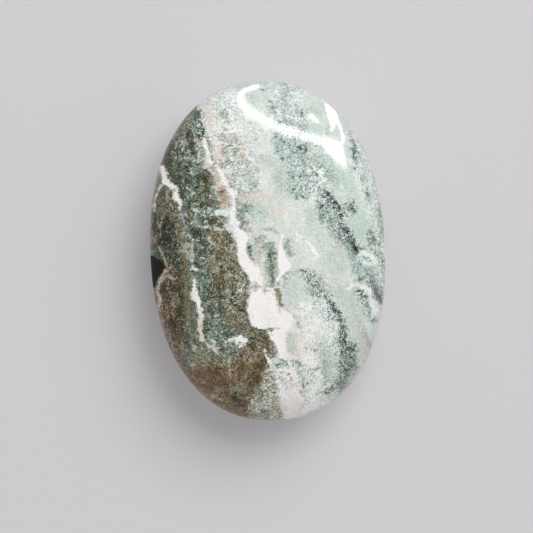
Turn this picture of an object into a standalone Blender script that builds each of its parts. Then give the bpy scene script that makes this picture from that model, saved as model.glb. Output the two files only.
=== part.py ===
"""Palm stone: one polished pebble, a little longer than a palm is wide, lying on a small flat spot.

Metres, +Z up. X runs across the stone and Y along it. The origin is the middle of the flat spot
that the stone rests on, and the face with the white veins looks up along +Z. The stone is one
solid: a flattened oval pillow, thickest in the middle, with a full round rim all the way round.
"""

import math

import bmesh
import bpy

# Driving dimensions: the stone's overall size.
LENGTH = 0.078
WIDTH = 0.054
THICKNESS = 0.025

# The outline is a superellipse. A power of 2 is an ellipse, and more is squarer.
OUTLINE_POWER = 2.23

# A section through the middle follows reach ** FACE_POWER + rise ** 2 = 1, from the rim to the crown.
FACE_POWER = 2.4

# The spot ground flat underneath, as shares of the half thickness: how much is taken off, and
# over what height the flat is eased into the curve.
SPOT_DEPTH = 0.03
SPOT_EASE = 0.006

# Grinding and polishing by hand leave the faces faintly uneven: the height of each swell, and its
# length along X and along Y. The sign of a length sets which way the swell slants.
SWELL_HEIGHT = 0.00006
SWELL_LENGTHS = ((0.047, 0.071), (-0.034, 0.052), (0.095, -0.041))

# Facets along each edge of the cube that the stone is ground from. An even number puts facet
# corners on the stone's three axes, so its overall size is exact.
FACETS_PER_EDGE = 24

# The stone's mean colour, as linear red, green and blue, and its polish.
STONE_COLOUR = (0.38, 0.41, 0.36, 1.0)
POLISH_ROUGHNESS = 0.12

HALF_THICKNESS = THICKNESS / (2.0 - SPOT_DEPTH)
FLAT_DROP = HALF_THICKNESS * (1.0 - SPOT_DEPTH)


def outline_stretch(across, along):
    """How far the unit direction (across, along) is stretched to meet the outline."""
    total = abs(across) ** OUTLINE_POWER + abs(along) ** OUTLINE_POWER
    return total ** (-1.0 / OUTLINE_POWER)


def eased_lesser(a, b, ease):
    """The lesser of a and b, rounded over where the two are closer than ease."""
    overlap = max(ease - abs(a - b), 0.0) / ease
    return min(a, b) - overlap * overlap * ease / 4.0


def swell(x, y):
    """Height of the faint unevenness of a face at x, y. It is nought at the middle."""
    waves = (math.sin(2.0 * math.pi * (x / across + y / along)) for across, along in SWELL_LENGTHS)
    return SWELL_HEIGHT * sum(waves)


def stone_point(direction):
    """Point of the stone's surface that a unit direction from the stone's middle stands for."""
    tilt = min(math.hypot(direction.x, direction.y), 1.0)
    rise = math.sqrt(1.0 - tilt * tilt)
    x = 0.0
    y = 0.0
    if tilt > 0.0:
        across = direction.x / tilt
        along = direction.y / tilt
        reach = tilt ** (2.0 / FACE_POWER) * outline_stretch(across, along)
        x = 0.5 * WIDTH * reach * across
        y = 0.5 * LENGTH * reach * along
    height = rise * (HALF_THICKNESS + swell(x, y))
    if direction.z >= 0.0:
        return x, y, FLAT_DROP + height
    return x, y, FLAT_DROP - eased_lesser(height, FLAT_DROP, HALF_THICKNESS * SPOT_EASE)


def even_angle(coordinate):
    """Move a cube's grid line so that the lines lie at even angles, seen from the cube's middle."""
    return math.tan(coordinate * math.pi / 4.0)


def ground_mesh(name):
    """Mesh of the stone: a cube cut into a grid, whose points are moved onto the stone's surface."""
    shaper = bmesh.new()
    bmesh.ops.create_cube(shaper, size=2.0)
    bmesh.ops.subdivide_edges(shaper, edges=shaper.edges[:], cuts=FACETS_PER_EDGE - 1, use_grid_fill=True)
    for corner in shaper.verts:
        for axis in range(3):
            corner.co[axis] = even_angle(corner.co[axis])
        corner.co = stone_point(corner.co.normalized())
    bmesh.ops.triangulate(shaper, faces=shaper.faces[:])
    mesh = bpy.data.meshes.new(name)
    shaper.to_mesh(mesh)
    shaper.free()
    mesh.shade_smooth()
    return mesh


def polished_stone():
    """Material of the stone: a glossy polish over its mean colour."""
    material = bpy.data.materials.new("polished_stone")
    material.use_nodes = True
    shader = material.node_tree.nodes["Principled BSDF"]
    shader.inputs["Base Color"].default_value = STONE_COLOUR
    shader.inputs["Roughness"].default_value = POLISH_ROUGHNESS
    shader.inputs["Metallic"].default_value = 0.0
    material.diffuse_color = STONE_COLOUR
    return material


def build():
    """Clear the scene and make the stone, in a collection of its own."""
    for leftover in list(bpy.data.objects):
        bpy.data.objects.remove(leftover, do_unlink=True)
    collection = bpy.data.collections.new("palm_stone")
    bpy.context.scene.collection.children.link(collection)
    stone = bpy.data.objects.new("palm_stone", ground_mesh("palm_stone"))
    stone.data.materials.append(polished_stone())
    collection.objects.link(stone)


build()
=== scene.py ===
"""Looks of the palm stone: one polished pebble of mottled green rock, crossed by white veins.

The stone lies on its flat spot, and the camera looks down on the face that the photograph shows.
Sizes here are metres. The stone's pattern is drawn in millimetres from the stone's middle, with
x across the stone, y along it and z up through it.
"""

from __future__ import annotations

import logging
import math
from collections.abc import Iterable, Sequence
from dataclasses import dataclass
from enum import Enum

import bpy
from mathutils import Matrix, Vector


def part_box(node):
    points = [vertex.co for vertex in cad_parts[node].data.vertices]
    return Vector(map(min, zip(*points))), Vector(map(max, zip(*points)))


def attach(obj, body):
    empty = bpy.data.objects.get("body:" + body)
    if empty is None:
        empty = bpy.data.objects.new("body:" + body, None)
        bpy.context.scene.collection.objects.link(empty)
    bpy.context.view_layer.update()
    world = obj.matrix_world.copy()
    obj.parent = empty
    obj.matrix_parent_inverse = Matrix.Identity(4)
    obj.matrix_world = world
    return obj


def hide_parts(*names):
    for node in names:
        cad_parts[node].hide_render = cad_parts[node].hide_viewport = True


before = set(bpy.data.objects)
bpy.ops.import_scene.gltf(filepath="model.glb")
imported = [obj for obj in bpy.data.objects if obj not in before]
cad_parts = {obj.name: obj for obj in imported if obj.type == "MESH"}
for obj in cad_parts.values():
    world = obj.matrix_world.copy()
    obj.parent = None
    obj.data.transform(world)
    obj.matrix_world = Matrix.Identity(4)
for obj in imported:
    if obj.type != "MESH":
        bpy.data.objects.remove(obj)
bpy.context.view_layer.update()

LOG = logging.getLogger("palm_stone")
MM = 0.001
X_AXIS, Y_AXIS, Z_AXIS = (1.0, 0.0, 0.0), (0.0, 1.0, 0.0), (0.0, 0.0, 1.0)
Socket = bpy.types.NodeSocket
Colour = tuple[float, float, float, float]
Ramp = tuple[tuple[float, Colour], ...]

# The brightest channel of a screen, and the curve from what it is sent to the light that it gives.
BRIGHTEST = 255.0
TOE_END, TOE_SLOPE = 0.04045, 12.92
CURVE_OFFSET, CURVE_POWER = 0.055, 2.4

# Gains that give noise around 0.5, and an even chance value from 0 to 1, a spread of about 1.
CLOUD_GAIN = 8.5
EVEN_GAIN = math.sqrt(12.0)

# Places of a Mix node's sockets for each kind of value: what lies under, what goes over, the result.
MIX_SOCKETS = {"FLOAT": (2, 3, 0), "VECTOR": (4, 5, 1), "RGBA": (6, 7, 2)}


def linear_share(share: float) -> float:
    """Find the light that a screen gives for a channel.

    Args:
        share: The channel, from 0 to 1.

    Returns:
        The light, from 0 to 1.
    """
    if share <= TOE_END:
        return share / TOE_SLOPE
    return ((share + CURVE_OFFSET) / (1.0 + CURVE_OFFSET)) ** CURVE_POWER


def screen_colour(*channels: int) -> Colour:
    """Linear colour, as a shader needs it, of a screen's red, green and blue from 0 to 255."""
    return *(linear_share(channel / BRIGHTEST) for channel in channels), 1.0


def add_object(name: str, data: bpy.types.ID) -> bpy.types.Object:
    """Add an object to the scene.

    Args:
        name: Name of the object.
        data: Its mesh, light or camera.

    Returns:
        The object.
    """
    added = bpy.data.objects.new(name, data)
    bpy.context.scene.collection.objects.link(added)
    return added


@dataclass(frozen=True)
class StoneForm:
    """The ground form of the stone: a flattened oval pillow that stands on a small flat spot.

    The outline is a superellipse. A section through the middle follows
    reach ** face_power + rise ** 2 = 1, from the rim to the crown.
    """

    low: Vector
    high: Vector
    outline_power: float = 2.23
    face_power: float = 2.4
    spot_depth: float = 0.03
    spot_ease: float = 0.006
    swell_height: float = 0.06 * MM
    swell_lengths: tuple[tuple[float, float], ...] = ((0.047, 0.071), (-0.034, 0.052), (0.095, -0.041))
    slope_step: float = 0.05 * MM

    @property
    def middle(self) -> Vector:
        """Middle of the box that the stone fills."""
        return (self.high + self.low) / 2.0

    @property
    def half_size(self) -> Vector:
        """Half of the stone's width, length and thickness."""
        return (self.high - self.low) / 2.0

    @property
    def half_thickness(self) -> float:
        """Rise of the crown above the widest level. The flat spot takes a little off below."""
        return (self.high.z - self.low.z) / (2.0 - self.spot_depth)

    @property
    def rim_level(self) -> float:
        """Height of the widest level above the flat spot."""
        return self.half_thickness * (1.0 - self.spot_depth)

    def swell(self, x: float, y: float) -> float:
        """Height at x, y of the faint unevenness that grinding by hand leaves on a face."""
        waves = (math.sin(2.0 * math.pi * (x / across + y / along)) for across, along in self.swell_lengths)
        return self.swell_height * sum(waves)

    def eased_lesser(self, a: float, b: float, ease: float) -> float:
        """The lesser of a and b, rounded over where the two are closer than ease."""
        overlap = max(ease - abs(a - b), 0.0) / ease
        return min(a, b) - overlap * overlap * ease / 4.0

    def point(self, direction: Vector) -> Vector:
        """Find the point of the surface that a direction stands for.

        Args:
            direction: Unit direction from the stone's middle.

        Returns:
            The point on the ground surface.
        """
        tilt = min(math.hypot(direction.x, direction.y), 1.0)
        rise = math.sqrt(1.0 - tilt * tilt)
        x = y = 0.0
        if tilt > 0.0:
            across, along = direction.x / tilt, direction.y / tilt
            total = abs(across) ** self.outline_power + abs(along) ** self.outline_power
            reach = tilt ** (2.0 / self.face_power) * total ** (-1.0 / self.outline_power)
            x, y = self.half_size.x * reach * across, self.half_size.y * reach * along
        height = rise * (self.half_thickness + self.swell(x, y))
        if direction.z >= 0.0:
            return Vector((x, y, self.rim_level + height))
        drop = self.eased_lesser(height, self.rim_level, self.half_thickness * self.spot_ease)
        return Vector((x, y, self.rim_level - drop))

    def face_height(self, x: float, y: float) -> float:
        """Find the height of the upper face.

        Args:
            x: Place across the stone.
            y: Place along the stone.

        Returns:
            The height above the flat spot.
        """
        across, along = abs(x) / self.half_size.x, abs(y) / self.half_size.y
        reach = (across**self.outline_power + along**self.outline_power) ** (1.0 / self.outline_power)
        rise = math.sqrt(max(1.0 - reach**self.face_power, 0.0))
        return self.rim_level + rise * (self.half_thickness + self.swell(x, y))

    def face_normal(self, x: float, y: float) -> Vector:
        """Find the way that the upper face looks.

        Args:
            x: Place across the stone.
            y: Place along the stone.

        Returns:
            The unit normal.
        """
        step = self.slope_step
        slope_x = (self.face_height(x + step, y) - self.face_height(x - step, y)) / (2.0 * step)
        slope_y = (self.face_height(x, y + step) - self.face_height(x, y - step)) / (2.0 * step)
        return Vector((-slope_x, -slope_y, 1.0)).normalized()


@dataclass(frozen=True)
class Cloud:
    """Cloudy noise: the size of a cloud in millimetres, its finer layers and their strength."""

    size: float
    detail: float = 2.0
    rough: float = 0.5


class NodeSheet:
    """Short forms for drawing with the nodes of a material, a node group or the sky.

    Places and sizes are in millimetres.
    """

    def __init__(self, tree: bpy.types.NodeTree) -> None:
        """Draw in this tree, which starts empty."""
        self.tree = tree
        self.tree.nodes.clear()

    def add(self, kind: str, **settings: object) -> bpy.types.Node:
        """Add a node.

        Args:
            kind: Type of the node.
            settings: Its properties.

        Returns:
            The node.
        """
        node = self.tree.nodes.new(kind)
        for name, value in settings.items():
            setattr(node, name, value)
        return node

    def feed(self, socket: Socket, source: object) -> None:
        """Give a socket what it takes.

        Args:
            socket: An input.
            source: Another node's output that is linked to it, or a plain value.
        """
        if isinstance(source, bpy.types.NodeSocket):
            self.tree.links.new(source, socket)
        else:
            socket.default_value = source

    def filled(self, node: bpy.types.Node, *sources: object, **named: object) -> bpy.types.Node:
        """Feed the inputs of a node.

        Args:
            node: The node.
            sources: What its first inputs take, in order.
            named: What the inputs of these names take.

        Returns:
            The node.
        """
        for socket, source in zip(node.inputs, sources):
            self.feed(socket, source)
        for name, source in named.items():
            self.feed(node.inputs[name], source)
        return node

    def math(self, operation: str, *operands: object, clamp: bool = False) -> Socket:
        """Result of a Math node on the operands."""
        node = self.add("ShaderNodeMath", operation=operation, use_clamp=clamp)
        return self.filled(node, *operands).outputs[0]

    def vector(self, operation: str, *operands: object) -> Socket:
        """Vector that a Vector Math node makes of the operands."""
        node = self.add("ShaderNodeVectorMath", operation=operation)
        return self.filled(node, *operands).outputs["Vector"]

    def scaled(self, source: Socket, factor: object) -> Socket:
        """A vector made longer or shorter by a factor."""
        node = self.add("ShaderNodeVectorMath", operation="SCALE")
        return self.filled(node, source, Scale=factor).outputs["Vector"]

    def dot(self, one: Socket, other: object) -> Socket:
        """Dot product of two vectors."""
        node = self.add("ShaderNodeVectorMath", operation="DOT_PRODUCT")
        return self.filled(node, one, other).outputs["Value"]

    def split(self, source: Socket) -> bpy.types.NodeOutputs:
        """The three parts of a vector."""
        return self.filled(self.add("ShaderNodeSeparateXYZ"), source).outputs

    def noise(self, where: Socket, cloud: Cloud) -> bpy.types.Node:
        """Node of cloudy noise, with a factor around 0.5 and a Color of three such factors."""
        node = self.add("ShaderNodeTexNoise", noise_dimensions="3D")
        return self.filled(node, where, Scale=1.0 / cloud.size, Detail=cloud.detail, Roughness=cloud.rough)

    def swing(self, where: Socket, cloud: Cloud, gain: float) -> Socket:
        """Cloudy noise around nought, gain times as strong."""
        return self.math("MULTIPLY_ADD", self.noise(where, cloud).outputs[0], gain, -0.5 * gain)

    def sway(self, where: Socket, cloud: Cloud, gain: float) -> Socket:
        """Vector that sways around nought with cloudy noise, gain times as strong."""
        colour = self.noise(where, cloud).outputs["Color"]
        return self.vector("MULTIPLY_ADD", colour, (gain,) * 3, (-0.5 * gain,) * 3)

    def cells(self, where: Socket, size: float) -> bpy.types.NodeOutputs:
        """Three chance values from 0 to 1 that are even within each crystal of this size."""
        node = self.add("ShaderNodeTexVoronoi", voronoi_dimensions="3D", feature="F1")
        return self.split(self.filled(node, where, Scale=1.0 / size).outputs["Color"])

    def step(self, source: Socket, start: object, end: object, high: object = 1.0) -> Socket:
        """Smooth step from nought, where source is at start, to high, where it is at end."""
        # It is level beyond its ends without the node's clamp. With it, the renderer would keep a value
        # of every feature until the last one, and run out of room.
        node = self.add("ShaderNodeMapRange", interpolation_type="SMOOTHSTEP", clamp=False)
        return self.filled(node, source, start, end, 0.0, high).outputs[0]

    def mix(self, kind: str, share: Socket, under: object, over: object) -> Socket:
        """Mix two values.

        Args:
            kind: FLOAT, VECTOR or RGBA.
            share: How much of the second value shows, from 0 to 1.
            under: The first value.
            over: The second value.

        Returns:
            The mix.
        """
        node = self.add("ShaderNodeMix", data_type=kind)
        first, second, result = MIX_SOCKETS[kind]
        for place, source in ((0, share), (first, under), (second, over)):
            self.feed(node.inputs[place], source)
        return node.outputs[result]

    def ramp(self, share: Socket, stops: Ramp) -> Socket:
        """Add a Color Ramp.

        Args:
            share: What the ramp goes by.
            stops: Places and colours of its stops, in order.

        Returns:
            The colour.
        """
        node = self.add("ShaderNodeValToRGB")
        elements = node.color_ramp.elements
        elements[0].position, elements[0].color = stops[0]
        elements[1].position, elements[1].color = stops[-1]
        for place, colour in stops[1:-1]:
            elements.new(place).color = colour
        return self.filled(node, share).outputs[0]

    def curve(self, where: Socket, points: Sequence[tuple[float, float]]) -> Socket:
        """Add a smooth curve that is level beyond its ends.

        Args:
            where: What the curve goes by.
            points: Places and values that it passes through, in order.

        Returns:
            The curve's value.
        """
        node = self.add("ShaderNodeFloatCurve")
        mapping = node.mapping
        mapping.use_clip = False
        mapping.extend = "HORIZONTAL"
        drawn = mapping.curves[0].points
        drawn[0].location, drawn[1].location = points[0], points[-1]
        for place, value in points[1:-1]:
            drawn.new(place, value)
        for point in drawn:
            point.handle_type = "AUTO_CLAMPED"
        mapping.update()
        return self.filled(node, Value=where).outputs[0]

    def show(self, shader: bpy.types.Node, output: str = "ShaderNodeOutputMaterial") -> None:
        """Make a shader what the material, or the world, shows."""
        self.filled(self.add(output), shader.outputs[0])


def new_material(name: str) -> tuple[bpy.types.Material, NodeSheet]:
    """Make a material.

    Args:
        name: Name of the material.

    Returns:
        The material, and the empty sheet of its nodes.
    """
    material = bpy.data.materials.new(name)
    material.use_nodes = True
    return material, NodeSheet(material.node_tree)


@dataclass(frozen=True)
class Tone:
    """How the rock is coloured at a place.

    Depth goes from 0, white, to 1, black. Hue goes from -2, slate, through -1, jade, 0, grey, and
    1, brown, to 2, rust. Grain is how much the grains differ from each other, in depth.
    """

    depth: float
    hue: float
    grain: float

    def as_vector(self) -> tuple[float, float, float]:
        """The tone as the vector that the pattern is mixed in."""
        return self.depth, self.hue, self.grain


@dataclass(frozen=True)
class Edge:
    """How a feature ends: over how many millimetres it fades, and how far its edge wanders."""

    fade: float
    wander: float


class Rim(Enum):
    """The kinds of edge that the features have."""

    CLEAN = Edge(0.15, 0.12)
    CRUMBLED = Edge(0.3, 0.5)
    GRAINY = Edge(0.6, 0.9)
    MISTY = Edge(1.6, 1.3)
    CLOUD = Edge(3.5, 2.2)


@dataclass(frozen=True)
class Seam:
    """A feature that runs along the stone. Each station is y, and x of its left and right edge."""

    tone: Tone
    rim: Rim
    stations: tuple[tuple[float, float, float], ...]
    strength: float = 1.0


@dataclass(frozen=True)
class Spots:
    """Oval features of one tone, or of one mineral's colour that lies over the rock.

    Each spot is x, y, its half width, its half length and, where it is turned, its turn in degrees.
    """

    paint: Tone | Colour
    rim: Rim
    ovals: tuple[tuple[float, ...], ...]
    strength: float = 1.0


Features = tuple[Seam | Spots, ...]

WHITE = Tone(0.005, 0.6, 0.02)
OFF_WHITE = Tone(0.05, 0.5, 0.05)
PALE = Tone(0.11, -0.1, 0.04)
TEAL = Tone(0.67, -0.2, 0.15)
BROWN = Tone(0.58, 0.45, 0.14)
BLACK = Tone(0.97, 0.3, 0.03)

# Left edge of a seam that fills the stone as far as its left rim.
OUT = -60

# The broad parts of the rock. The left side is dark, and the rest is pale. Some also carry painted light: a
# paler haze at the top, and shade along the lower rim.
GROUND: Features = (
    Spots(Tone(0.1, -0.35, 0.06), Rim.CLOUD, ((-0.5, 25, 2.4, 7),)),
    Seam(Tone(0.1, -0.25, 0.1), Rim.MISTY, (
        (40, -16, -4.4), (36, -15, -5), (32, -13.5, -4.7), (28, -13, -4.6),
    )),
    Seam(Tone(0.18, 0.05, 0.14), Rim.MISTY, (
        (27, -13, -4.6), (24, -13, -3.6), (20, -12, -1.9), (16, -10, -1.4), (13, -8.5, -2.4),
        (10, -8, -3.2), (6, -8, -4),
    )),
    Seam(TEAL, Rim.CRUMBLED, (
        (40, OUT, -16), (34, OUT, -14.9), (32, OUT, -13.9), (30, OUT, -13.5), (28, OUT, -12.9),
        (26.5, OUT, -13.4), (25, OUT, -15.3), (23, OUT, -14.7), (21.5, OUT, -13.9), (20, OUT, -14.3),
        (19, OUT, -12.8), (18, OUT, -11.7), (16, OUT, -11.6), (14, OUT, -11.6), (12, OUT, -10.8),
        (10.6, OUT, -10.1), (9.5, OUT, -12), (8.3, OUT, -9.5), (7, OUT, -9.2), (6, OUT, -9.7),
        (5, OUT, -9), (4, OUT, -8.1), (3, OUT, -7.6), (2, OUT, -7.1), (-2, OUT, -7), (-3, OUT, -6.5),
        (-4, OUT, -5.9), (-5, OUT, -5.3), (-6, OUT, -4.7), (-7, OUT, -4.4), (-8, OUT, -4.6),
        (-9, OUT, -4.8), (-10, OUT, -4.7), (-11, OUT, -5), (-12, OUT, -5.6), (-13, OUT, -5.6),
        (-14, OUT, -5.1), (-15, OUT, -5), (-16, OUT, -4.7), (-17.2, OUT, -3.2), (-18, OUT, -1),
        (-19, OUT, -0.6), (-20, OUT, 0.2), (-21, OUT, 0.8), (-22, OUT, 1.2), (-23, OUT, 1.3),
        (-24, OUT, 0.6), (-24.8, OUT, -0.5), (-26, OUT, -1.6), (-28, OUT, -1.9), (-30, OUT, -2.4),
        (-32, OUT, -3.3), (-34, OUT, -4.5), (-40, OUT, -5.2),
    )),
    Seam(Tone(0.57, 0.25, 0.13), Rim.MISTY, (
        (40, OUT, -17), (34, OUT, -17), (31, OUT, -16.5), (27, OUT, -18.5),
    )),
    Seam(Tone(0.38, 1.25, 0.13), Rim.GRAINY, (
        (15.4, -10.7, -9.3), (14, -11.2, -8.6), (12.5, -11, -8.2), (11, -10.8, -8), (10.2, -10.4, -8.6),
    )),
    Seam(BROWN, Rim.GRAINY, (
        (19.3, -14.6, -12.6), (18, -15.2, -12.1), (16, -15, -11.9), (14, -14.3, -11.8),
        (12.5, -13.8, -11.4), (11, -13.2, -10.8), (10.4, -13, -10.6), (9.2, -12.6, -12),
        (8.4, -13.7, -10.6), (7, -13.8, -9.8), (6.2, -13.2, -10.4), (5, -13.6, -9.6), (4, -14, -8.4),
        (2, -14.2, -7.6), (0, -13.8, -7.3), (-2, -13.6, -7.1), (-4, -13.3, -6.6), (-6, -13.4, -5.6),
        (-8, -13.2, -5.2), (-10, -12.2, -4.8), (-12, -11.2, -5.6), (-14, -11, -5.3), (-16, -10.8, -5.2),
        (-18, -9.5, -3), (-20, -5.2, 0), (-24, -4.5, 1),
    )),
    Seam(Tone(0.68, 1.1, 0.12), Rim.GRAINY, (
        (-18.5, -24, -20.6), (-21, -24, -20.3), (-23, -24, -17.5), (-24, -24, -1.9), (-26, -23, -1.6),
        (-28, -23, -1.9), (-30, -23, -2.4), (-32, -23, -3.2), (-34, -23, -4.5), (-40, -23, -5.2),
    )),
    Seam(Tone(0.63, 0.9, 0.14), Rim.GRAINY, (
        (-20.4, -4.2, -2.2), (-21.2, -5.4, -1.9), (-22.2, -6.2, -1.8), (-23.2, -8.6, -1.8),
        (-24.2, -10.4, -1.8), (-25, -11, -1.8),
    )),
    Spots(Tone(0.69, 1.4, 0.09), Rim.CLOUD, ((-16, -28.5, 3.6, 5.5),)),
    # The spot at -3, -37.3 lies along the lower rim: its brown-grey darkening there is painted shade. The
    # others are darker rock.
    Spots(Tone(0.54, 0.25, 0.1), Rim.MISTY, (
        (-18, -24, 2.4, 2.2), (-12, -24.6, 3.4, 1.2), (-3, -37.3, 3, 1.4),
    )),
    Spots(Tone(0.47, -0.4, 0.09), Rim.MISTY, ((-10.8, -21.2, 3.6, 1.9), (-12.9, -19, 2, 1))),
    Spots(Tone(0.54, 0.3, 0.08), Rim.MISTY, ((-8.2, -31.4, 2.1, 1.8),)),
    Seam(Tone(0.69, 0.35, 0.14), Rim.CRUMBLED, (
        (16.6, -22.9, -22.4), (15.4, -24.4, -22), (15, -24.7, -21.4), (13, -25.3, -21),
        (12, -25.4, -20.2), (10, -25.8, -20.1), (9, -26, -19.6), (8, -26, -19.2), (6, -26, -18.9),
        (4, -26, -18.4), (2, -26, -17.9), (0, -26, -17.6), (-4, -26, -17.5), (-8, -26, -18.2),
        (-10, -26, -18.6), (-14, -26, -19), (-19, -24, -19),
    )),
    Seam(Tone(0.81, 0.1, 0.15), Rim.GRAINY, (
        (9.8, -25.8, -24), (9, -26.2, -20.9), (7, -26.3, -20.9), (5, -26.4, -20.6), (3, -26.5, -20.2),
        (0, -26, -20.2), (-3, -24, -20.2), (-4.5, -24, -20.4),
    )),
    Seam(Tone(0.79, 0.7, 0.15), Rim.GRAINY, (
        (-3.6, -24, -20.3), (-5, -26, -20.2), (-9, -27, -19.8), (-13, -27, -19.7), (-17, -27, -20),
        (-21, -26, -21),
    )),
    Seam(Tone(0.44, -1.8, 0.22), Rim.MISTY, (
        (14, 11.6, 13.6), (12, 11.3, 15.6), (10, 11.3, 17), (8, 12, 18), (6, 12.8, 18.2), (4, 13.5, 18.8),
        (2, 14.6, 19.6), (0, 16.6, 20.6), (-2, 18.6, 21.2), (-4, 19.4, 22.6), (-6, 20, 24), (-8, 21, 25),
        (-10, 22.4, 26), (-12.5, 24, 27),
    ), 0.85),
    # Pale jade at the top, above the window gleam: the rock's own pale colour, made paler by a painted haze
    # of reflected window light.
    Seam(Tone(0.12, -1.5, 0.13), Rim.MISTY, (
        (40, 1.4, 11), (36, 1.6, 10.5), (32, 1.6, 9.6), (29, 1.8, 10),
    )),
    Seam(Tone(0.25, -1.6, 0.14), Rim.MISTY, (
        (29.5, 2.6, 9), (28, 2.4, 11), (25, 2.6, 13), (22, 3.2, 14.6), (19, 5, 15), (16, 5.4, 15),
        (12, 6.8, 12),
    )),
    Seam(Tone(0.05, 0.1, 0.1), Rim.MISTY, (
        (-12.5, 5.5, 12), (-18, 5, 15), (-22, 4.5, 15), (-26, 1, 15), (-30, 0, 15), (-34, 1, 13),
        (-39, 2, 10),
    )),
    Seam(Tone(0.42, 0.6, 0.2), Rim.GRAINY, (
        (-26.2, -1.8, -0.6), (-27, -2.2, -0.1), (-28, -2.8, 0.1), (-30, -3, 0.3), (-32, -4.2, 0.5),
        (-34, -5.6, 0.8), (-36, -6.4, 1.4), (-40, -6.4, 1.8),
    ), 0.9),
    # The spots at 12.6, 27.2 and at 13, 31.6 lie inside the window gleam's frame, and their paleness is
    # partly painted haze of reflected window light. The rest are pale jade of the rock.
    Spots(Tone(0.17, -0.75, 0.04), Rim.MISTY, (
        (21.4, 4.4, 2.2, 5), (18.6, -16.5, 2.1, 5.5), (17.8, 15.2, 2.2, 3.6), (16.4, 20, 1.3, 2.6),
        (19.6, 13, 0.8, 4), (17, -10.5, 3, 2.2), (12.6, 27.2, 2, 1.6), (19.4, 28.6, 0.8, 2.2, 25),
        (-1.4, 35.2, 1.3, 1.5), (-4.4, 38.1, 1.6, 0.7), (13, 31.6, 1.2, 1.4),
    )),
    Spots(Tone(0.15, -0.25, 0.05), Rim.MISTY, (
        (5, -9.6, 2.7, 3.6), (13, 4.4, 2.2, 4), (15.5, -3, 3, 4.5), (10.8, 7, 1.4, 3),
    )),
    Seam(Tone(0.15, -1.4, 0.2), Rim.MISTY, (
        (27, 19.8, 24), (22, 20.4, 25), (18, 20.6, 26), (14, 22.4, 27), (10, 23.8, 28), (5, 24.6, 28),
        (0, 25, 28), (-5, 25, 28), (-9, 25, 28),
    )),
    Spots(Tone(0.17, 0.5, 0.04), Rim.GRAINY, ((20.7, -22.3, 1.1, 4.6, 8),)),
    Spots(Tone(0.3, 0.15, 0.04), Rim.GRAINY, ((22.2, -22.4, 0.5, 3.6, 22),)),
)

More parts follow.
